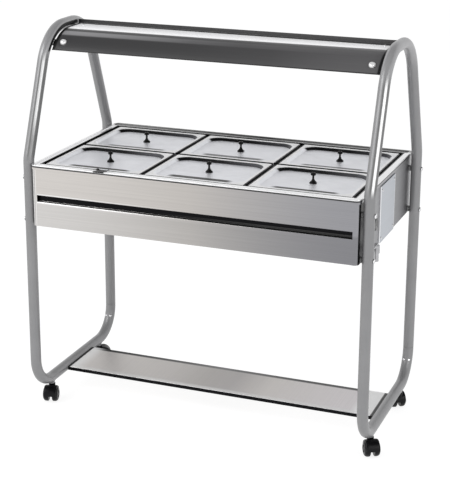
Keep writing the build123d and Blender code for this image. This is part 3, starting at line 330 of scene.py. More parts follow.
def shelf_finish(colors):
    """Brushed steel shelf: a dark turned-down edge all round, painted reflection along its length, painted
    highlights on the front fold and the ends, and painted shade on the rear fold and by the rails.
    """
    finish = brushed("shelf_brushed_steel", colors.shelf, 0.36)
    x, y, along = finish.axis("X"), finish.axis("Y"), finish.along()
    red, green, blue = colors.shelf
    # Painted reflection: darker in the middle, lighter at the ends and bluer towards the right.
    tones = [  # (place, tone, blueness)
        (0, 1.0, 1.0),
        (0.22, 0.90, 1.0),
        (0.42, 0.74, 1.0),
        (0.55, 0.72, 1.02),
        (0.72, 0.98, 1.0),
        (1, 1.08, 1.05),
    ]
    stops = [(place, (red * tone, green * tone, blue * (tone * cool))) for place, tone, cool in tones]
    steel = finish.vary(finish.ramp(along, stops), finish.grain(ALONG_Y), 0.04)
    front_fold_highlight = finish.fall(y, -0.084, -0.068, 0.7)
    rear_fold_shade = finish.rise(y, 0.070, 0.078)
    highlit_ends = finish.math("ADD", finish.rise(x, 0.445, 0.475), finish.fall(x, -0.515, -0.465, 0.9))
    right_edge_shade = finish.rise(x, 0.518, 0.522)
    left_edge_shade = finish.fall(x, -0.522, -0.519)
    edge = finish.any_of(finish.above(finish.far("Y"), 0.0912), finish.above(finish.far("X"), 0.5281))
    turned_down = finish.all_of(edge, finish.below(finish.axis("Z"), 0.0838))
    # Painted light: highlights on the front fold and the ends, shade on the rear fold and beside the rails.
    steel = finish.layers(
        steel,
        (front_fold_highlight, 0.86),
        (rear_fold_shade, finish.ramp(along, [(0, 0.02), (0.45, 0.26), (0.8, 0.12)])),
        (highlit_ends, 0.97),
        (right_edge_shade, 0.10),
        (left_edge_shade, BLACK),
        (turned_down, BLACK),
    )
    finish.paint(steel)
    return finish.material


def canopy_angle(finish):
    """The angle in degrees from the top of the canopy's roll towards its front."""
    forward = finish.math("SUBTRACT", CANOPY_AXIS_Y, finish.axis("Y"))
    upward = finish.math("SUBTRACT", finish.axis("Z"), CANOPY_AXIS_Z)
    return finish.math("MULTIPLY", finish.math("ARCTAN2", forward, upward), DEGREES)


def canopy_finish(colors):
    """Rolled canopy sheet painted as reflection: a painted highlight along its top, then a dark fold, a pale
    crease, a dark front and a dark rear lip, with painted shade on its front edge and ends.
    """
    finish = brushed("canopy_rolled_steel", colors.canopy, 0.24, amount=0.02, relief=0.04)
    along, angle = finish.along(), canopy_angle(finish)

    def greys(*stops):
        """A ramp of greys along the canopy's length."""
        return finish.ramp(along, [(place, (grey, grey * 0.99, grey * 1.01)) for place, grey in stops])

    front = greys((0, 0.070), (0.4, 0.078), (0.75, 0.098), (1, 0.145))
    crease = greys((0, 0.36), (0.2, 0.26), (0.38, 0.17), (0.6, 0.130), (1, 0.145))
    fold = greys((0, 0.065), (0.6, 0.070), (1, 0.115))
    lip = greys((0, 0.022), (1, 0.055))
    widening = finish.math("MULTIPLY", finish.far("X"), 4.0)
    widening = finish.math("ADD", widening, finish.math("MULTIPLY", finish.axis("X"), 3.0))
    top = finish.fall(finish.math("ADD", angle, widening), 8.0, 10.5)
    backward = finish.math("ADD", finish.axis("Y"), finish.math("MULTIPLY", finish.axis("X"), 0.016))
    rear_strip = finish.rise(backward, 0.031, 0.033)
    front_edge_shade = finish.rise(angle, 51.0, 52.0)
    rear_lip = finish.above(finish.axis("Z"), 1.2262)
    ends = finish.rise(finish.far("X"), 0.515, 0.519, 0.95)
    # Painted reflection in bands by angle and along the length, with painted shade on the front edge and the ends.
    color = finish.layers(
        front,
        (finish.fall(angle, 24.5, 28.5), crease),
        (finish.fall(angle, 15.5, 18.5), fold),
        (top, (0.98, 0.98, 0.985)),
        (rear_strip, lip),
        (front_edge_shade, 0.03),
        (rear_lip, lip),
        (ends, BLACK),
    )
    finish.paint(finish.vary(color, finish.grain(ALONG_X), 0.03))
    finish.feed("Metallic", finish.spread(top, 0.35, 0.0))
    return finish.material


def lid_finish(colors):
    """Satin lid steel: rims painted bright as a highlight, skirts and the notch painted black as shade, and
    painted reflection dark along the recess's rear wall and in a line near its front.
    """
    finish = Finish("lid_polished_steel", colors.lid, 0.8, 0.46)
    x, y, height = (finish.axis(name) for name in "XYZ")
    from_row = finish.math("SUBTRACT", y, finish.math("MULTIPLY", finish.math("SIGN", y), ROW_Y))
    from_column = finish.math("WRAP", x, HALF_PITCH, -HALF_PITCH)
    off_column = finish.math("ABSOLUTE", from_column)
    wider = finish.fall(finish.far("X"), 0.150, 0.180, 0.007)
    line = finish.all_of(
        finish.rise(from_row, -0.090, -0.087),
        finish.fall(finish.math("SUBTRACT", from_row, wider), -0.074, -0.071),
        finish.fall(off_column, 0.085, 0.110, 0.95),
    )
    past_x = finish.math("MAXIMUM", finish.math("SUBTRACT", off_column, 0.1025), 0.0)
    past_y = finish.math("MAXIMUM", finish.math("SUBTRACT", from_row, 0.0725), 0.0)
    squares = finish.math("ADD", finish.math("POWER", past_x, 2.0), finish.math("POWER", past_y, 2.0))
    wall = finish.all_of(
        finish.above(finish.math("SQRT", squares), 0.0365),
        finish.rise(from_row, 0.084, 0.092),
        finish.below(height, 0.8352),
    )
    rear_wall_reflection_tone = finish.ramp(
        finish.rise(from_column, -0.15, 0.15), [(0, BLACK), (0.5, 0.02), (1, (0.12, 0.12, 0.13))]
    )
    notch = finish.all_of(finish.inside(x, -0.3210, -0.2790), finish.inside(y, -0.2710, -0.2370))
    off_row = finish.math("ABSOLUTE", from_row)
    skirt = finish.any_of(finish.above(off_column, 0.1574), finish.above(off_row, 0.1306))
    rim = finish.above(height, 0.8350)
    rear_row = finish.above(y, 0.0)
    # Painted light: the recess line and rear wall as dark reflection, the rims as a highlight, and the notch and
    # skirts black as the shade in the gaps.
    color = finish.layers(
        finish.vary(colors.lid, finish.noise(14, 4, 0.6), 0.04),
        (line, finish.mix(rear_row, 0.02, (0.17, 0.17, 0.18))),
        (rim, (0.96, 0.96, 0.965)),
        (wall, rear_wall_reflection_tone),
        (notch, BLACK),
        (skirt, BLACK),
    )
    finish.paint(color)
    finish.rough(finish.noise(22, 5, 0.7, (1, 3, 1)), 0.05)
    finish.bump(finish.noise(11, 2, 0.5), 0.10, 0.0006)
    return finish.material


def deck_finish(colors):
    """Bright brushed rim of the tank: its skirt as grey as the sheets below with their painted light, a painted
    shadow under the rim, painted shade black inside and by the notch, and the rear rim painted grey as shade.
    """
    finish = brushed("deck_bright_steel", colors.deck, 0.22, amount=0.03, relief=0.06)
    height, far_x, far_y = finish.axis("Z"), finish.far("X"), finish.far("Y")
    outside = finish.any_of(finish.above(far_x, 0.515), finish.above(far_y, 0.297))
    inner = finish.math("SUBTRACT", 1.0, outside)
    steel = finish.mix(finish.above(far_x, 0.5252), apron_steel(finish, colors), colors.side_panel)
    skirt = finish.all_of(outside, finish.below(height, 0.8360))
    shadow_under_rim = finish.all_of(outside, finish.inside(height, 0.8322, 0.8365))
    ledge = finish.all_of(inner, finish.inside(height, 0.8265, 0.8362))
    inner_edge_shade = finish.all_of(finish.inside(far_x, 0.500, 0.5068), finish.below(far_y, 0.282))
    notch_shade_patch = finish.all_of(
        finish.inside(finish.axis("X"), -0.3110, -0.2750),
        finish.inside(finish.axis("Y"), -0.3100, -0.270),
        finish.above(height, 0.8372),
    )
    rear = finish.all_of(finish.above(finish.axis("Y"), 0.2785), finish.above(height, 0.8362))
    rear_rim_shade_greys = [(0, 0.24), (0.35, 0.14), (0.55, 0.06), (0.72, 0.18), (1, 0.22)]
    # Painted light: shadow under the rim, black shade in the gaps and by the notch, grey shade on the rear rim.
    color = finish.layers(
        finish.base,
        (skirt, finish.vary(steel, finish.grain(ALONG_X), 0.05)),
        (shadow_under_rim, 0.06),
        (ledge, BLACK),
        (inner_edge_shade, BLACK),
        (notch_shade_patch, BLACK),
        (rear, finish.ramp(finish.along(), rear_rim_shade_greys)),
    )
    finish.paint(color)
    return finish.material


def pan_finish(colors):
    """Brushed pan steel with painted shade where it shows through the lid's ladle notch."""
    finish = brushed("pan_brushed_steel", colors.inner, 0.30)
    under = finish.all_of(
        finish.inside(finish.axis("X"), -0.3180, -0.2820),
        finish.inside(finish.axis("Y"), -0.2740, -0.2280),
        finish.above(finish.axis("Z"), 0.8200),
    )
    finish.paint(finish.mix(under, finish.base, BLACK))
    return finish.material


def bars_finish(colors):
    """Inner steel of the pan supports with their upper faces painted black as the shade in the gaps between the
    lids.
    """
    finish = brushed("support_brushed_steel", colors.inner, 0.30)
    finish.paint(finish.mix(finish.above(finish.axis("Z"), 0.8270), finish.base, BLACK))
    return finish.material


def inner_finish(colors):
    """Plain brushed steel of the tub, the pans and the hidden sheets."""
    return brushed("inner_brushed_steel", colors.inner, 0.30).material


def side_finish(colors):
    """Brushed end panels, painted greyer than the aprons as shade, grained upright and painted near-black as shade
    by the front leg.
    """
    finish = brushed("side_brushed_steel", colors.side_panel, 0.34, ALONG_Y)
    shade_by_leg = finish.fall(finish.axis("Y"), -0.264, -0.256)
    finish.paint(finish.mix(shade_by_leg, finish.base, (0.014, 0.014, 0.015)))
    return finish.material


def cover_finish(colors):
    """Service cover in fine bluish brushed steel with painted highlights on its upright edges."""
    finish = brushed("cover_brushed_steel", colors.cover, 0.30, ALONG_Y, 0.03)
    # Painted highlight on the cover's upright edges.
    edge = finish.math("MULTIPLY", finish.above(finish.far("Y"), 0.0800), 0.85)
    finish.paint(finish.mix(edge, finish.base, (0.92, 0.92, 0.93)))
    return finish.material


def cap_nut_finish():
    """Pale domed cap nuts with a dark turned edge on their upper side."""
    pale = (0.93, 0.93, 0.93)
    finish = Finish("cap_nut_pale", pale, 0.4, 0.30)
    upper = finish.below(canopy_angle(finish), 38.2)
    finish.paint(finish.mix(upper, finish.vary(pale, finish.noise(150, 3), 0.04), 0.05))
    return finish.material


def plastic_finish(name, color, roughness, relief=0.15, gloss=0.5):
    """Moulded plastic: fine spark-eroded grain and slight unevenness."""
    finish = cloudy(name, color, 0.0, roughness, (30, 4, 0.15), (60, 3, 0.06), Specular_IOR_Level=gloss)
    finish.bump(finish.noise(1100, 2, 0.5), relief, 0.0001)
    return finish.material


def glass_finish(name, color, roughness):
    """Frosted lamp glass or diffuser."""
    sockets = {"Transmission_Weight": 0.35, "IOR": 1.45}
    return cloudy(name, color, 0.0, roughness, (25, 3, 0.02), (90, 3, 0.04), **sockets).material


def fastener_finish():
    """Bright fasteners with fine turning marks."""
    return cloudy("bright_fastener", (0.78, 0.78, 0.79), 1.0, 0.22, (120, 3, 0.05), (200, 3, 0.06)).material


def tap_finish():
    """Chromed brass of the drain tap."""
    return cloudy("tap_chrome", (0.42, 0.42, 0.43), 1.0, 0.18, (60, 4, 0.08), (80, 4, 0.05)).material


def wheel_finish():
    """Black tyre and hub with dust rubbed into the running face."""
    rubber = (0.003, 0.003, 0.004)
    finish = Finish("wheel_rubber", rubber, 0.0, 0.30, Specular_IOR_Level=0.2)
    dust = finish.rise(finish.noise(55, 5, 0.7), 0.5, 0.8, 0.5)
    finish.paint(finish.mix(dust, rubber, (0.010, 0.010, 0.009)))
    finish.rough(finish.noise(80, 3), 0.10)
    finish.bump(finish.noise(900, 2), 0.2, 0.0001)
    return finish.material


def element_finish():
    """Heater sheath with straw and blue heat tint in patches."""
    finish = Finish("element_sheath", (0.30, 0.28, 0.26), 1.0, 0.38)
    tints = [(0.35, (0.32, 0.30, 0.28)), (0.55, (0.33, 0.25, 0.16)), (0.72, (0.17, 0.18, 0.24))]
    finish.paint(finish.ramp(finish.noise(9, 3), tints))
    finish.rough(finish.noise(50, 3), 0.08)
    return finish.material


def pilot_finish():
    """Amber lens of the pilot lamp."""
    amber = (0.85, 0.33, 0.04)
    finish = Finish("pilot_amber_lens", amber, 0.0, 0.18, Transmission_Weight=0.2, Coat_Weight=0.5)
    finish.paint(finish.vary(amber, finish.noise(200, 2), 0.1))
    finish.bump(finish.noise(900, 2), 0.3, 0.0002)
    return finish.material


STEELS = {  # finishes that take the cart's colours
    "satin_tube": tube_finish,
    "apron": apron_finish,
    "steel_sheet": side_finish,
    "deck": deck_finish,
    "polished_steel": lid_finish,
    "inner_steel": inner_finish,
    "panel_steel": cover_finish,
    "canopy_sheet": canopy_finish,
    "shelf_sheet": shelf_finish,
    "support_bars": bars_finish,
    "pan_rest": pan_finish,
}
OTHERS = {  # a maker and its values
    "fastener": (fastener_finish,),
    "cap_nut": (cap_nut_finish,),
    "wheel_black": (wheel_finish,),
    "tap_metal": (tap_finish,),
    "pilot_amber": (pilot_finish,),
    "element_sheath": (element_finish,),
    "lamp_white": (glass_finish, "lamp_frosted_glass", (0.88, 0.90, 0.90), 0.35),
    "diffuser": (glass_finish, "diffuser_panel", (0.82, 0.84, 0.85), 0.45),
    "spacer": (plastic_finish, "spacer_grey", (0.22, 0.22, 0.22), 0.5, 0.2, 0.3),
    "knob_black": (plastic_finish, "knob_phenolic", (0.004, 0.004, 0.004), 0.35, 0.05, 0.15),
    "black_plastic": (plastic_finish, "black_moulded_plastic", (0.003, 0.003, 0.004), 0.32, 0.15, 0.2),
    "white_plastic": (plastic_finish, "white_moulded_plastic", (0.72, 0.72, 0.70), 0.40),
    "dial_plastic": (plastic_finish, "dial_plastic", (0.008, 0.008, 0.009), 0.30, 0.08, 0.3),
    "marking": (plastic_finish, "marking_paint", (0.80, 0.80, 0.80), 0.5, 0.05),
}
MADE = {}


def finish_of(name):
    """A finished material by its slot name, made once."""
    if name not in MADE:
        if name in STEELS:
            MADE[name] = STEELS[name](bpy.context.scene.cart_colors)
        else:
            maker, *values = OTHERS[name]
            MADE[name] = maker(*values)
    return MADE[name]


# Mesh helpers


def mesh_from(name, points, faces):
    """A mesh from points in millimetres and faces."""
    mesh = bpy.data.meshes.new(name)
    mesh.from_pydata([Vector(p) * MM for p in points], [], faces)
    mesh.validate()
    return mesh


def smooth(mesh, sharp_degrees=35.0):
    """Shade a mesh smooth up to an angle."""
    mesh.shade_smooth()
    mesh.set_sharp_from_angle(angle=math.radians(sharp_degrees))
    return mesh


def tidy_mesh(mesh, sharp_degrees=35.0):
    """Merge doubles, turn faces outwards, and shade smooth up to an angle."""
    work = bmesh.new()
    work.from_mesh(mesh)
    bmesh.ops.remove_doubles(work, verts=work.verts, dist=1e-6)
    bmesh.ops.recalc_face_normals(work, faces=work.faces)
    work.to_mesh(mesh)
    work.free()
    return smooth(mesh, sharp_degrees)


def coated(mesh, finish):
    """A mesh in one finish."""
    mesh.materials.clear()
    mesh.materials.append(finish_of(finish))
    return mesh


def add_piece(name, mesh, body, replaces=None):
    """Put a finished mesh in the scene, riding on its CAD body."""
    piece = bpy.data.objects.new(name, mesh)
    bpy.context.scene.collection.objects.link(piece)
    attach(piece, body)
    if replaces:
        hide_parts(replaces)


def plain_mesh(piece):
    """The mesh of an object with its modifiers applied."""
    bpy.context.view_layer.update()
    return bpy.data.meshes.new_from_object(piece.evaluated_get(bpy.context.evaluated_depsgraph_get()))


def band(low, high):
    """Faces between two rings of points, either of which may be a single pole."""
    faces = []
    count = max(len(low), len(high))
    for step in range(count):
        after = (step + 1) % count
        below = [low[step % len(low)], low[after % len(low)]]
        above = [high[after % len(high)], high[step % len(high)]]
        faces.append(tuple(dict.fromkeys(below + above)))
    return [face for face in faces if len(face) > 2]


def rounded(corners, steps=5):
    """A line of (a, b) points with some corners rounded: each corner is (a, b, radius)."""
    line = []
    for index, (a, b, radius) in enumerate(corners):
        here = Vector((a, b))
        if not radius or index in (0, len(corners) - 1):
            line.append((a, b))
            continue
        before = (Vector(corners[index - 1][:2]) - here).normalized()
        after = (Vector(corners[index + 1][:2]) - here).normalized()
        half = before.angle(after) / 2
        reach = radius / math.tan(half)
        middle = here + (before + after).normalized() * (radius / math.sin(half))
        first, second = here + before * reach - middle, here + after * reach - middle
        sweep = first.angle(second)
        for step in range(steps + 1):
            part = step / steps
            blend = first * math.sin((1 - part) * sweep) + second * math.sin(part * sweep)
            line.append(tuple(middle + blend / math.sin(sweep)))
    return line


def turned(name, corners, segments, steps=5, sharp_degrees=35.0):
    """A closed turned shape about Z from (radius, height, corner radius) in millimetres."""
    points, faces, rings = [], [], []
    for radius, height in rounded(corners, steps):
        count = segments if radius > 1e-6 else 1
        rings.append(range(len(points), len(points) + count))
        for step in range(count):
            turn = 2 * math.pi * step / segments
            points.append((radius * math.cos(turn), radius * math.sin(turn), height))
    for low, high in zip(rings, rings[1:]):
        faces += band(low, high)
    return tidy_mesh(mesh_from(name, points, faces), sharp_degrees)


def rectangle(half_x, half_y):
    """The corners of a rectangle about the middle."""
    return [(-half_x, -half_y), (half_x, -half_y), (half_x, half_y), (-half_x, half_y)]


def rounded_rectangle(half_x, half_y, radius, per_corner):
    """Points round a rectangle with rounded corners, the same number for every radius."""
    points = []
    for corner, (sx, sy) in enumerate(((1, 1), (-1, 1), (-1, -1), (1, -1))):
        for step in range(per_corner + 1):
            turn = math.pi / 2 * (corner + step / per_corner)
            x = sx * (half_x - radius) + radius * math.cos(turn)
            points.append((x, sy * (half_y - radius) + radius * math.sin(turn)))
    return points


def prism(name, low, high, outline, top=None):
    """A prism between two heights on an outline of (x, y) points, which may differ at its top."""
    count = len(outline)
    points = [(*point, low) for point in outline] + [(*point, high) for point in top or outline]
    faces = [(0, *reversed(range(1, count))), tuple(range(count, 2 * count))]
    return mesh_from(name, points, faces + band(range(count), range(count, 2 * count)))


def carved(mesh, *cutters, sharp_degrees=35.0):
    """A mesh with others cut out of it."""
    blank = bpy.data.objects.new("blank", mesh)
    pieces = [blank] + [bpy.data.objects.new("cutter", cutter) for cutter in cutters]
    for piece in pieces:
        bpy.context.scene.collection.objects.link(piece)
    for cutter in pieces[1:]:
        cut = blank.modifiers.new("cut", "BOOLEAN")
        cut.object = cutter
        cut.operation = "DIFFERENCE"
        cut.solver = "EXACT"
    result = plain_mesh(blank)
    for piece in pieces:
        bpy.data.objects.remove(piece)
    return smooth(result, sharp_degrees)


def turned_to(direction, place):
    """A matrix that stands Z along a direction at a place in millimetres."""
    turn = Vector((0, 0, 1)).rotation_difference(Vector(direction)).to_matrix().to_4x4()
    return Matrix.Translation(Vector(place) * MM) @ turn


def joined(name, *meshes):
    """One mesh from several, keeping their materials."""
    work = bmesh.new()
    materials = []
    for mesh in meshes:
        first = len(work.faces)
        work.from_mesh(mesh)
        work.faces.ensure_lookup_table()
        for face in work.faces[first:]:
            material = mesh.materials[face.material_index] if mesh.materials else None
            if material not in materials:
                materials.append(material)
            face.material_index = materials.index(material)
    whole = bpy.data.meshes.new(name)
    work.to_mesh(whole)
    work.free()
    for material in materials:
        whole.materials.append(material)
    return whole


# Geometry Nodes that repeat a small piece


def repeat_tree(name, sizes, arrange):
    """A tree, made once, that sets copies of a piece where arrange says, realized and in their finish."""
    if name in bpy.data.node_groups:
        return bpy.data.node_groups[name]
    tree = bpy.data.node_groups.new(name, "GeometryNodeTree")
    for socket, kind in {"Geometry": "Geometry", "Piece": "Object", **sizes, "Finish": "Material"}.items():
        tree.interface.new_socket(socket, in_out="INPUT", socket_type=f"NodeSocket{kind}")
    tree.interface.new_socket("Geometry", in_out="OUTPUT", socket_type="NodeSocketGeometry")
    enter = tree.nodes.new("NodeGroupInput").outputs
    piece = add_node(tree, "GeometryNodeObjectInfo", {"Object": enter["Piece"]})
    inputs = {"Instance": piece.outputs["Geometry"], **arrange(tree, enter)}
    copies = add_node(tree, "GeometryNodeInstanceOnPoints", inputs)
    realize = add_node(tree, "GeometryNodeRealizeInstances", {0: copies.outputs["Instances"]})
    inputs = {"Geometry": realize.outputs[0], "Material": enter["Finish"]}
    finish = add_node(tree, "GeometryNodeSetMaterial", inputs)
    add_node(tree, "NodeGroupOutput", {"Geometry": finish.outputs["Geometry"]})
    return tree


def on_points(tree, enter):
    """One copy on every point, along the point's own direction and turned about it by chance."""
    out = add_node(tree, "GeometryNodeInputNamedAttribute", {"Name": "out"}, data_type="FLOAT_VECTOR")
    toward = {"Vector": out.outputs["Attribute"]}
    align = add_node(tree, "FunctionNodeAlignRotationToVector", toward, axis="Z")
    chance = add_node(
        tree, "FunctionNodeRandomValue", {"Seed": enter["Seed"], 3: enter["Spin"]}, data_type="FLOAT"
    )
    spin = add_node(tree, "ShaderNodeCombineXYZ", {"Z": chance.outputs[1]})
    euler = add_node(tree, "FunctionNodeEulerToRotation", {0: spin.outputs[0]})
    turns = {"Rotation": align.outputs[0], "Rotate By": euler.outputs[0]}
    rotate = add_node(tree, "FunctionNodeRotateRotation", turns, rotation_space="LOCAL")
    return {"Points": enter["Geometry"], "Rotation": rotate.outputs[0], "Scale": enter["Scale"]}


def round_circle(tree, enter):
    """Copies round a circle, each turned to face out from the middle."""
    circle = add_node(tree, "GeometryNodeMeshCircle", {"Vertices": enter["Count"], "Radius": enter["Radius"]})
    out = add_node(tree, "GeometryNodeInputPosition").outputs[0]
    align = add_node(tree, "FunctionNodeAlignRotationToVector", {"Vector": out}, axis="X", pivot_axis="Z")
    return {"Points": circle.outputs["Mesh"], "Rotation": align.outputs[0]}


def grown_mesh(name, tree, pattern, finish, start=None, **values):
    """Run a tree once over a starting mesh and keep the plain mesh that it makes."""
    piece = bpy.data.objects.new(f"{name}_pattern", pattern)
    holder = bpy.data.objects.new(f"{name}_holder", start or bpy.data.meshes.new(f"{name}_start"))
    bpy.context.scene.collection.objects.link(holder)
    modifier = holder.modifiers.new("repeat", "NODES")
    modifier.node_group = tree
    values = {"Piece": piece, "Finish": finish_of(finish), **values}
    for item in tree.interface.items_tree:
        if item.in_out == "INPUT" and item.name in values:
            modifier[item.identifier] = values[item.name]
    mesh = plain_mesh(holder)
    holder.modifiers.clear()
    bpy.data.objects.remove(holder)
    bpy.data.objects.remove(piece)
    return mesh


def scattered(name, pattern, finish, places, spin, seed):
    """A piece set at every place in millimetres, along the direction that the place gives."""
    start = bpy.data.meshes.new(f"{name}_points")
    start.from_pydata([Vector(place) * MM for place, _ in places], [], [])
    out = start.attributes.new("out", "FLOAT_VECTOR", "POINT")
    for index, (_, direction) in enumerate(places):
        out.data[index].vector = Vector(direction).normalized()
    tree = repeat_tree("cart_scatter", {"Scale": "Float", "Spin": "Float", "Seed": "Int"}, on_points)
    return grown_mesh(name, tree, pattern, finish, start, Scale=1.0, Spin=spin, Seed=seed)


def ringed(name, pattern, finish, count, radius):
    """A piece set round a circle of a radius in millimetres."""
    tree = repeat_tree("cart_ring", {"Count": "Int", "Radius": "Float"}, round_circle)
    return grown_mesh(name, tree, pattern, finish, Count=count, Radius=radius * MM)


# Properties


class CartColors(PropertyGroup):
    """Colours of the cart's finishes, linear."""

    tube: FloatVectorProperty(
        name="Tube", description="Lacquer on the side frames", subtype="COLOR", default=srgb(144, 144, 145)
    )
    # The apron colours hold painted light: lighter and warmer at the left end, greyer at the right.
    apron_left: FloatVectorProperty(
        name="Apron Left", description="Steel at the left end", subtype="COLOR", default=srgb(204, 200, 196)
    )
    apron_middle: FloatVectorProperty(
        name="Apron Middle", description="Steel half way along", subtype="COLOR", default=srgb(188, 184, 180)
    )
    apron_right: FloatVectorProperty(
        name="Apron Right", description="Steel at the right end", subtype="COLOR", default=srgb(150, 150, 154)
    )
    # The end panels' colour is painted darker than the aprons as shade.
    side_panel: FloatVectorProperty(
        name="End Panels", description="Steel of the two ends", subtype="COLOR", default=srgb(148, 148, 150)
    )
    cover: FloatVectorProperty(
        name="Service Cover", description="Steel of the cover", subtype="COLOR", default=srgb(184, 188, 194)
    )
    deck: FloatVectorProperty(
        name="Deck Rim", description="Rim round the pans", subtype="COLOR", default=srgb(242, 242, 243)
    )
    lid: FloatVectorProperty(
        name="Lids", description="Satin steel of the lids", subtype="COLOR", default=srgb(245, 246, 250)
    )
    inner: FloatVectorProperty(
        name="Inner Steel", description="Pans and hidden sheets", subtype="COLOR", default=srgb(178, 178, 180)
    )
    canopy: FloatVectorProperty(
        name="Canopy", description="Rolled steel of the canopy", subtype="COLOR", default=srgb(236, 233, 234)
    )
    shelf: FloatVectorProperty(
        name="Shelf", description="Brushed steel of the shelf", subtype="COLOR", default=srgb(226, 222, 219)
    )


class CartSizes(PropertyGroup):
    """Sizes of the fine detail."""

    lid_edge: FloatProperty(
        name="Lid Edge", description="Radius of the lid's outer edge, mm", default=1.8, min=0.5, max=3.0
    )
    lid_fold: FloatProperty(
        name="Lid Fold", description="Radius from the rim to the recess, mm", default=3.5, min=1.0, max=5.0
    )
    lid_floor_fold: FloatProperty(
        name="Lid Floor Fold", description="Radius at the recess floor, mm", default=5.0, min=1.0, max=8.0
    )
    turned_segments: IntProperty(
        name="Turned Segments", description="Facets round turned pieces", default=64, min=16, max=128
    )
    dial_flutes: IntProperty(
        name="Dial Flutes", description="Grip ribs on the dial", default=36, min=8, max=72
    )
    dial_ticks: IntProperty(
        name="Dial Ticks", description="Marks on the dial's skirt", default=12, min=4, max=40
    )
    wheel_ribs: IntProperty(
        name="Wheel Ribs", description="Ribs in each wheel's face", default=10, min=4, max=24
    )
    weld_beads: IntProperty(
        name="Weld Ripples", description="Ripples in each socket's weld", default=30, min=8, max=60
    )
    camera_azimuth: FloatProperty(
        name="Camera Azimuth", description="Turn from the front", subtype="ANGLE", default=math.radians(21.1)
    )
    camera_elevation: FloatProperty(
        name="Camera Elevation", description="Height angle", subtype="ANGLE", default=math.radians(16.3)
    )


# Operators


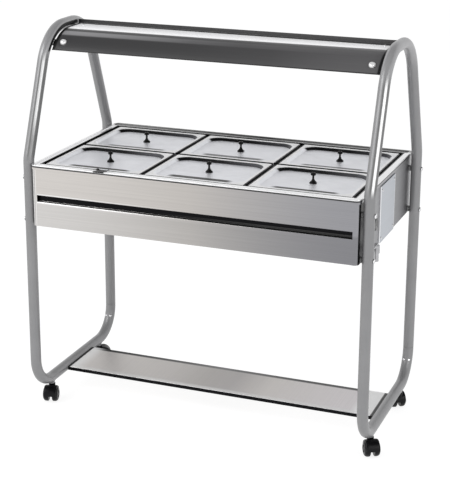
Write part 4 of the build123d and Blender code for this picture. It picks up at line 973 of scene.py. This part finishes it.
class CART_OT_stage(Operator):
    """Set the camera, the pale floor, the world and the soft lamps"""

    bl_idname = "cart.stage"
    bl_label = "Stage"

    distance = 4.4294
    focal_pixels = 1397.3
    sensor = 36
    roll = math.radians(0.25)
    target = (-0.001, 0, 0.7032)
    lamps = (  # name, place, size, power
        ("key_lamp", (-2.2, -2.6, 3.4), 2.2, 70.0),
        ("fill_lamp", (3.0, -1.4, 2.2), 2.0, 26.0),
    )
    ceiling = ((0.42, 1.0), (0.70, 0.10), (0.93, 0.07), (1.0, 0.30))  # height, level

    def execute(self, context):
        self.set_camera(context)
        self.set_floor(context)
        self.set_world(context)
        self.set_lamps(context)
        context.scene.view_settings.view_transform = "Standard"
        return {"FINISHED"}

    def set_camera(self, context):
        """The camera at the photograph's angle, with a slight roll."""
        sizes = context.scene.cart_sizes
        azimuth, elevation = sizes.camera_azimuth, sizes.camera_elevation
        level = math.cos(elevation)
        back = Vector((math.sin(azimuth) * level, -math.cos(azimuth) * level, math.sin(elevation)))
        right = Vector((math.cos(azimuth), math.sin(azimuth), 0))
        up = back.cross(right)
        rolled_right = right * math.cos(self.roll) + up * math.sin(self.roll)
        rolled_up = up * math.cos(self.roll) - right * math.sin(self.roll)
        data = bpy.data.cameras.new("camera")
        data.sensor_width = self.sensor
        data.lens = self.sensor * self.focal_pixels / IMAGE_HEIGHT
        data.shift_y = -0.10
        camera = bpy.data.objects.new("camera", data)
        axes = Matrix((rolled_right, rolled_up, back)).transposed().to_4x4()
        camera.matrix_world = Matrix.Translation(Vector(self.target) + back * self.distance) @ axes
        context.scene.collection.objects.link(camera)
        context.scene.camera = camera

    def seen(self, tree, first, *others):
        """1 for a ray of any of the named kinds."""
        path = tree.nodes.new("ShaderNodeLightPath").outputs
        whole = path[first]
        for kind in others:
            either = add_node(tree, "ShaderNodeMath", {0: whole, 1: path[kind]}, operation="MAXIMUM")
            whole = either.outputs[0]
        return whole

    def set_floor(self, context):
        """A plain pale floor that shows white and keeps a soft shadow."""
        reach = 12.0
        mesh = bpy.data.meshes.new("floor")
        mesh.from_pydata([(x, y, 0) for x, y in rectangle(reach, reach)], [], [(0, 1, 2, 3)])
        floor = bpy.data.objects.new("floor", mesh)
        context.scene.collection.objects.link(floor)
        material = bpy.data.materials.new("floor_white")
        material.use_nodes = True
        tree = material.node_tree
        tree.nodes.clear()
        white, dim = (0.86, 0.86, 0.86, 1), (0.24, 0.24, 0.24, 1)
        lit = add_node(tree, "ShaderNodeBsdfDiffuse", {"Color": white})
        shaded = add_node(tree, "ShaderNodeBsdfDiffuse", {"Color": dim})
        glow = add_node(tree, "ShaderNodeEmission", {"Color": white})
        shown = add_node(tree, "ShaderNodeAddShader", {0: shaded.outputs[0], 1: glow.outputs[0]})
        seen = self.seen(tree, "Is Camera Ray", "Is Glossy Ray", "Is Transmission Ray")
        mix = add_node(tree, "ShaderNodeMixShader", {"Fac": seen, 1: lit.outputs[0], 2: shown.outputs[0]})
        add_node(tree, "ShaderNodeOutputMaterial", {"Surface": mix.outputs[0]})
        mesh.materials.append(material)

    def set_world(self, context):
        """White all round for the camera; metal sees it too, under a dark ceiling."""
        world = bpy.data.worlds.new("studio")
        context.scene.world = world
        world.use_nodes = True
        tree = world.node_tree
        tree.nodes.clear()
        place = add_node(tree, "ShaderNodeTexCoord")
        split = add_node(tree, "ShaderNodeSeparateXYZ", {0: place.outputs["Generated"]})
        ceiling = add_node(tree, "ShaderNodeValToRGB", {"Fac": split.outputs["Z"]})
        points = ceiling.color_ramp.elements
        points.new(0.5)
        points.new(0.9)
        for point, (height, level) in zip(points, self.ceiling):
            point.position = height
            point.color = (level, level, level, 1)
        glossy = self.seen(tree, "Is Glossy Ray")
        inputs = {"Factor": glossy, 6: (0.66, 0.66, 0.67, 1), 7: ceiling.outputs["Color"]}
        soft = add_node(tree, "ShaderNodeMix", inputs, data_type="RGBA")
        seen = self.seen(tree, "Is Camera Ray", "Is Transmission Ray")
        inputs = {"Factor": seen, 6: soft.outputs[2], 7: (1, 1, 1, 1)}
        shown = add_node(tree, "ShaderNodeMix", inputs, data_type="RGBA")
        back = add_node(tree, "ShaderNodeBackground", {"Color": shown.outputs[2]})
        add_node(tree, "ShaderNodeOutputWorld", {"Surface": back.outputs[0]})

    def set_lamps(self, context):
        """Two large soft lamps, a key from the front left and a fill from the right."""
        for name, place, size, power in self.lamps:
            data = bpy.data.lights.new(name, "AREA")
            data.shape = "SQUARE"
            data.size = size
            data.energy = power
            lamp = bpy.data.objects.new(name, data)
            aim = Vector((0, 0, 0.7)) - Vector(place)
            lamp.matrix_world = Matrix.Translation(place) @ aim.to_track_quat("-Z", "Y").to_matrix().to_4x4()
            context.scene.collection.objects.link(lamp)


class CART_OT_finishes(Operator):
    """Give every CAD node its procedural finish"""

    bl_idname = "cart.finishes"
    bl_label = "Finishes"

    special = {
        "front_apron": "apron",
        "rear_apron": "apron",
        "deck_frame": "deck",
        "pan_support_bars": "support_bars",
        "pan_front_left": "pan_rest",
        "tank_mount_spacers": "spacer",
        # The canopy brackets are made black as painted shade by the canopy's ends.
        "canopy_brackets": "black_plastic",
        "canopy_cap_nuts": "cap_nut",
    }

    def execute(self, context):
        slots = {part["node"]: part["material_slot"] for part in frame["record"]["subparts"]}
        for node, piece in frame["nodes"].items():
            finish = finish_of(self.special.get(node, slots[node]))
            if not piece.material_slots:
                piece.data.materials.append(finish)
            for slot in piece.material_slots:
                slot.material = finish
        return {"FINISHED"}


class CART_OT_lids(Operator):
    """Press the six lids with rounded folds in place of the plain CAD lids"""

    bl_idname = "cart.lids"
    bl_label = "Lids"

    sheet = 1.0
    drop = 6.0
    rim = 14.0
    depth = 9.0
    draft = depth * math.tan(math.radians(42))
    floor_run = 24
    edge_radius, recess_radius, least_radius = 12.0, 46.0, 6
    edge_band, edge_turn = 3, 2
    per_corner = 14

    def profile(self, sizes, shift):
        """The lid's section as (inset, height), edge to recess floor, with the underside shifted in."""
        fold = self.rim + shift * 0.4
        return rounded(
            [
                (shift, -self.drop, 0),
                (shift, -shift, max(0.6, sizes.lid_edge - shift)),
                (fold, -shift, sizes.lid_fold - shift),
                (fold + self.draft, -shift - self.depth, sizes.lid_floor_fold + shift),
                (self.rim + self.draft + self.floor_run, -shift - self.depth, 0),
            ]
        )

    def corner_radius(self, inset):
        """The corner radius of the ring at an inset: tight at the edge, wide at the recess."""
        edge, recess = self.edge_radius, self.recess_radius
        if inset < self.edge_band:
            return edge - min(inset, self.edge_turn)
        if inset < self.rim:
            return edge + (recess - edge) * (inset - self.edge_band) / (self.rim - self.edge_band)
        return max(recess - (inset - self.rim), self.least_radius)

    def execute(self, context):
        sizes = context.scene.cart_sizes
        outer, inner = self.profile(sizes, 0.0), self.profile(sizes, self.sheet)
        split = len(outer)
        for place in PAN_PLACES:
            low, high = (Vector(v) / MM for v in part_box(f"lid_{place}"))
            middle, half, top = (low + high) / 2, (high - low) / 2, high.z
            points, rings = [], []
            for inset, height in outer + inner:
                radius = self.corner_radius(inset)
                loop = rounded_rectangle(half.x - inset, half.y - inset, radius, self.per_corner)
                rings.append(range(len(points), len(points) + len(loop)))
                points += [(middle.x + x, middle.y + y, top + height) for x, y in loop]
            faces = [tuple(rings[split - 1]), tuple(rings[-1])] + band(rings[0], rings[split])
            for first in range(len(rings) - 1):
                if first != split - 1:
                    faces += band(rings[first], rings[first + 1])
            mesh = tidy_mesh(mesh_from(f"lid_{place}_pressed", points, faces), 50)
            if place == "front_left":
                mesh = self.notched(mesh, middle, half.y, top)
            mesh = coated(mesh, "polished_steel")
            add_piece(f"pressed_lid_{place}", mesh, f"lid_{place}", f"lid_{place}")
        return {"FINISHED"}

    def notched(self, mesh, middle, half_y, top):
        """Cut the ladle notch out of the lid's front edge."""
        width, depth, offset = 35.0, 21.0, 33.0
        loop = rounded_rectangle(width / 2, depth, width * 0.3, 8)
        outline = [(middle.x + offset + x, middle.y - half_y + y) for x, y in loop]
        cutter = tidy_mesh(prism("notch", top - 14.0, top + 3.0, outline))
        return carved(mesh, cutter, sharp_degrees=50)


class CART_OT_knobs(Operator):
    """Turn the six lid knobs with a smooth flare, a cap and a screw in its top"""

    bl_idname = "cart.knobs"
    bl_label = "Lid Knobs"

    profile = [
        (0, 0, 0),
        (11.8, 0, 0.8),
        (11.4, 2.0, 0.8),
        (5.0, 9.0, 6.0),
        (3.0, 15.0, 6.0),
        (3.2, 23.0, 1.2),
        (7.4, 24.8, 1.0),
        (7.4, 32.2, 3.0),
        (2.6, 33.0, 0.4),
        (2.6, 32.2, 0),
        (0, 32.2, 0),
    ]

    def execute(self, context):
        segments = context.scene.cart_sizes.turned_segments
        for place in PAN_PLACES:
            low, high = (Vector(v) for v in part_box(f"lid_knob_{place}"))
            middle = (low + high) / 2
            mesh = coated(turned(f"knob_{place}", self.profile, segments, 6, 40), "knob_black")
            mesh.transform(Matrix.Translation((middle.x, middle.y, low.z)))
            add_piece(f"turned_knob_{place}", mesh, f"lid_{place}", f"lid_knob_{place}")
        return {"FINISHED"}


class CART_OT_screws(Operator):
    """Set a cross-head screw at every screw's place"""

    bl_idname = "cart.screws"
    bl_label = "Pan-Head Screws"

    joint_turn = math.radians(27)  # how far round its bend a hoop's butt joint sits
    joint_fans = (math.radians(-30), math.radians(21))  # where its screws stand round the tube
    bend_y, bend_z, bend_radius, seat_radius = 178, 180, 100, 17.15
    shelf_x, shelf_y, shelf_z = 527.4, 60, 78
    canopy_screw = (497, 20, 1225)
    cover_margin = 14

    def places(self):
        """Where each screw sits and the way it faces, in millimetres."""
        places = []
        sine, cosine = math.sin(self.joint_turn), math.cos(self.joint_turn)
        inward = Vector((0, -cosine, sine))
        for side in (-1, 1):
            y, z = self.bend_y + self.bend_radius * cosine, self.bend_z - self.bend_radius * sine
            middle = Vector((side * LEG_X / MM, y, z))
            for fan in self.joint_fans:
                out = inward * math.cos(fan) - Vector((1, 0, 0)) * math.sin(fan)
                places.append((middle + out * self.seat_radius, out))
            for y in (-self.shelf_y, self.shelf_y):
                places.append(((side * self.shelf_x, y, self.shelf_z), (-side, 0, 0)))
            x, y, z = self.canopy_screw
            places.append(((side * x, y, z), (0, 0, 1)))
        low, high = (Vector(v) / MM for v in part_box("service_cover"))
        for y in (low.y + self.cover_margin, high.y - self.cover_margin):
            for z in (low.z + self.cover_margin, high.z - self.cover_margin):
                places.append(((high.x, y, z), (1, 0, 0)))
        return places

    def pattern(self, radius, height, shank):
        """A pan-head screw with a cross recess, standing on Z = 0 with its shank below."""
        neck = radius * 0.55
        corners = [
            (0, -shank, 0),
            (neck, -shank, 0),
            (neck, 0, 0),
            (radius, 0, 0),
            (radius, height, height * 0.62),
            (0, height, 0),
        ]
        head = turned("cross_head_screw", corners, 28)
        arm, slot = radius * 0.52, radius * 0.11
        cross = (rectangle(arm, slot), rectangle(slot, arm))
        return carved(head, *(prism("arm", height * 0.4, height + 1, outline) for outline in cross))

    def execute(self, context):
        screw = self.pattern(radius=4.2, height=2.6, shank=7.5)
        mesh = scattered("screws", screw, "fastener", self.places(), spin=math.pi / 2, seed=3)
        add_piece("cross_head_screws", mesh, "cart", "pan_head_screws")
        return {"FINISHED"}


class CART_OT_bolts(Operator):
    """Set a domed socket bolt and its nut at each of the tank's mounts"""

    bl_idname = "cart.bolts"
    bl_label = "Tank Bolts"

    seat_x, mount_y, mount_heights = 563.15, 278, (790, 655)
    nut_back = 40.35  # from the bolt's seat to its nut's face

    def pattern(self, radius, height, shank_radius, shank):
        """A domed bolt with a hexagon socket, standing on Z = 0."""
        corners = [
            (0, -shank, 0),
            (shank_radius, -shank, 0.6),
            (shank_radius, 0, 0),
            (radius, 0, 0),
            (radius, height, height * 0.75),
            (0, height, 0),
        ]
        key = radius * 0.36
        hexagon = [(key * math.cos(math.pi / 3 * k), key * math.sin(math.pi / 3 * k)) for k in range(6)]
        socket = prism("socket", height * 0.35, height + 1, hexagon)
        return carved(turned("socket_bolt", corners, 40, 6), socket)

    def execute(self, context):
        places = [
            (Vector((side * self.seat_x, y, z)), Vector((side, 0, 0)))
            for side in (-1, 1)
            for y in (-self.mount_y, self.mount_y)
            for z in self.mount_heights
        ]
        bolt = self.pattern(radius=7.5, height=4.0, shank_radius=4.0, shank=49.85)
        bolts = scattered("bolts", bolt, "fastener", places, spin=1.0, seed=5)
        backs = [(place - out * self.nut_back, -out) for place, out in places]
        nut = turned("nut", [(4.05, 0, 0), (7.5, 0, 0), (7.5, 6.5, 0.8), (4.05, 6.5, 0), (4.05, 0, 0)], 6, 2)
        nuts = scattered("nuts", nut, "fastener", backs, spin=0.5, seed=8)
        add_piece("socket_bolts", joined("socket_bolts", bolts, nuts), "cart", "tank_mount_bolts")
        return {"FINISHED"}


class CART_OT_wheels(Operator):
    """Turn the twin caster wheels with a crowned tread, a dished face and ribs"""

    bl_idname = "cart.wheels"
    bl_label = "Caster Wheels"

    profile = [
        (0, 0, 0),
        (25.0, 0, 3.0),
        (25.0, 18.0, 10.2),
        (12.0, 18.0, 0.7),
        (11.6, 15.7, 0.7),
        (7.5, 15.7, 0.5),
        (6.9, 17.6, 0.8),
        (0, 17.8, 0),
    ]
    inner_face, rib_radius = 6.6, 9.5
    axle_radius, axle_half = 3.5, 7.0

    def execute(self, context):
        sizes = context.scene.cart_sizes
        joints = {joint["name"]: joint for joint in frame["joints"]}
        rib = tidy_mesh(prism("wheel_rib", 15.3, 16.8, [(-2.2, -0.6), (2.2, -0.8), (2.2, 0.8), (-2.2, 0.6)]))
        half, radius = self.axle_half, self.axle_radius
        for place in CASTER_PLACES:
            joint = joints[f"wheel_spin_{place}"]
            axis, centre = Vector(joint["axis"]), Vector(joint["pos_m"])
            parts = []
            for side in (-1, 1):
                wheel = coated(turned("wheel", self.profile, sizes.turned_segments, 7, 40), "wheel_black")
                ribs = ringed("ribs", rib, "wheel_black", sizes.wheel_ribs, self.rib_radius)
                both = joined("wheel_with_ribs", wheel, ribs)
                both.transform(turned_to(axis * side, (centre + axis * side * self.inner_face * MM) / MM))
                parts.append(both)
            axle = turned("axle", [(0, -half, 0), (radius, -half, 0), (radius, half, 0), (0, half, 0)], 32)
            axle.transform(turned_to(axis, centre / MM))
            mesh = smooth(joined(f"wheels_{place}", *parts, coated(axle, "fastener")), 40)
            body, node = f"wheels_{place}", f"caster_wheels_{place}"
            add_piece(f"twin_wheels_{place}", mesh, body, node)
        return {"FINISHED"}


class CART_OT_dial(Operator):
    """Turn the thermostat's dial with grip ribs, a bright skirt, ticks and a pointer"""

    bl_idname = "cart.dial"
    bl_label = "Thermostat Dial"

    height = 18.0
    flute_radius, tick_radius = 19.6, 22.2
    grip = [(0, 3.9, 0), (20.2, 3.9, 0), (19.0, 18.0, 2.4), (6, 17.4, 2), (0, 17.4, 0)]
    skirt = [(0, 0, 0), (24, 0, 0.4), (24, 3.2, 0.8), (21, 4.0, 0.5), (0, 4.0, 0)]
    shaft = [(0, -11.0, 0), (3.0, -11.0, 0), (3.0, 0.5, 0), (0, 0.5, 0)]

    def flute_outline(self, half):
        """A grip rib's outline at one height."""
        return [(-1.4, -half), (0.9, -half), (0.9, half), (-1.4, half)]

    def execute(self, context):
        sizes = context.scene.cart_sizes
        low, high = (Vector(v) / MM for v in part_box("thermostat_dial"))
        middle = (low + high) / 2
        flute = tidy_mesh(prism("dial_flute", 4.2, 15.0, self.flute_outline(0.8), self.flute_outline(0.6)))
        tick = prism("dial_tick", 3.2, 4.15, rectangle(0.9, 0.3))
        pointer = prism("dial_pointer", 17.0, 18.0, [(6, -0.7), (17, -0.7), (17, 0.7), (6, 0.7)])
        parts = [
            coated(turned("dial_grip", self.grip, sizes.turned_segments), "dial_plastic"),
            ringed("flutes", flute, "dial_plastic", sizes.dial_flutes, self.flute_radius),
            coated(turned("dial_skirt", self.skirt, sizes.turned_segments, 3), "fastener"),
            ringed("ticks", tick, "dial_plastic", sizes.dial_ticks, self.tick_radius),
            coated(pointer, "marking"),
            coated(turned("dial_shaft", self.shaft, 32), "fastener"),
        ]
        mesh = smooth(joined("dial", *parts), 40)
        mesh.transform(turned_to((1, 0, 0), (high.x - self.height, middle.y, middle.z)))
        add_piece("fluted_dial", mesh, "thermostat_dial", "thermostat_dial")
        return {"FINISHED"}


class CART_OT_welds(Operator):
    """Lay rippled weld beads round the caster sockets"""

    bl_idname = "cart.welds"
    bl_label = "Weld Beads"

    tube_radius, socket_radius, rail_height, socket_y = 17.0, 9.5, 80.0, 176

    def execute(self, context):
        count = context.scene.cart_sizes.weld_beads
        places = []
        for x in (-LEG_X / MM, LEG_X / MM):
            for y in (-self.socket_y, self.socket_y):
                for step in range(count):
                    turn = 2 * math.pi * step / count
                    off_x, off_y = self.socket_radius * math.cos(turn), self.socket_radius * math.sin(turn)
                    z = self.rail_height - math.sqrt(self.tube_radius**2 - off_x**2)
                    places.append(((x + off_x, y + off_y, z), (-math.sin(turn), math.cos(turn), 0)))
        bead = turned("bead", [(0, -0.9, 0), (1.2, -0.9, 0.7), (1.2, 0.9, 0.7), (0, 0.9, 0)], 10, 2)
        mesh = scattered("beads", bead, "satin_tube", places, spin=6.0, seed=2)
        mesh.shade_smooth()
        add_piece("socket_weld_beads", mesh, "cart")
        return {"FINISHED"}


class CART_OT_rocker_marks(Operator):
    """Raise a plain bar and ring on each rocker for on and off"""

    bl_idname = "cart.rocker_marks"
    bl_label = "Rocker Marks"

    tilt, lean = math.radians(8), math.atan2(2, 13)
    face_x, mark_z = 5.15, 7.5
    pivot_x, pivot_z = 523.0, 795.0
    ring = [(1.4, 0, 0), (2.2, 0, 0), (2.2, 0.25, 0), (1.4, 0.25, 0), (1.4, 0, 0)]

    def execute(self, context):
        for name, y in (("heat", -179.0), ("light", -213.0)):
            bar = prism("mark_bar", 0, 0.25, rectangle(2.2, 0.4))
            parts = []
            for mesh, sign in ((bar, 1), (turned("mark_ring", self.ring, 32), -1)):
                face = Matrix.Rotation(-sign * self.lean, 4, "Y") @ turned_to((1, 0, 0), (0, 0, 0))
                stand = Matrix.Translation(Vector((self.face_x, 0, sign * self.mark_z)) * MM)
                mesh.transform(Matrix.Rotation(self.tilt, 4, "Y") @ stand @ face)
                parts.append(coated(mesh, "marking"))
            whole = joined(f"{name}_marks", *parts)
            whole.transform(Matrix.Translation(Vector((self.pivot_x, y, self.pivot_z)) * MM))
            add_piece(f"{name}_rocker_marks", whole, f"{name}_rocker")
        return {"FINISHED"}


OPERATORS = (
    CART_OT_stage,
    CART_OT_finishes,
    CART_OT_lids,
    CART_OT_knobs,
    CART_OT_screws,
    CART_OT_bolts,
    CART_OT_wheels,
    CART_OT_dial,
    CART_OT_welds,
    CART_OT_rocker_marks,
)


class CART_PT_panel(Panel):
    """Sidebar panel that lists the cart's settings and its pieces."""

    bl_idname = "CART_PT_panel"
    bl_label = "Heated Buffet Cart"
    bl_space_type = "VIEW_3D"
    bl_region_type = "UI"
    bl_category = "Buffet Cart"

    def draw(self, context):
        layout = self.layout
        for group in (context.scene.cart_colors, context.scene.cart_sizes):
            column = layout.column(align=True)
            for name in group.__annotations__:
                column.prop(group, name)
        for operator in OPERATORS:
            layout.operator(operator.bl_idname)


CLASSES = (CartColors, CartSizes, *OPERATORS, CART_PT_panel)


def register():
    """Register the classes and the scene's settings."""
    for cls in CLASSES:
        bpy.utils.register_class(cls)
    bpy.types.Scene.cart_colors = PointerProperty(type=CartColors)
    bpy.types.Scene.cart_sizes = PointerProperty(type=CartSizes)


def unregister():
    """Take the classes and settings away again."""
    del bpy.types.Scene.cart_sizes
    del bpy.types.Scene.cart_colors
    for cls in reversed(CLASSES):
        bpy.utils.unregister_class(cls)


def main():
    """Build the stage and every piece in order."""
    register()
    for operator in OPERATORS:
        group, name = operator.bl_idname.split(".")
        getattr(getattr(bpy.ops, group), name)()


if __name__ == "__main__":
    main()
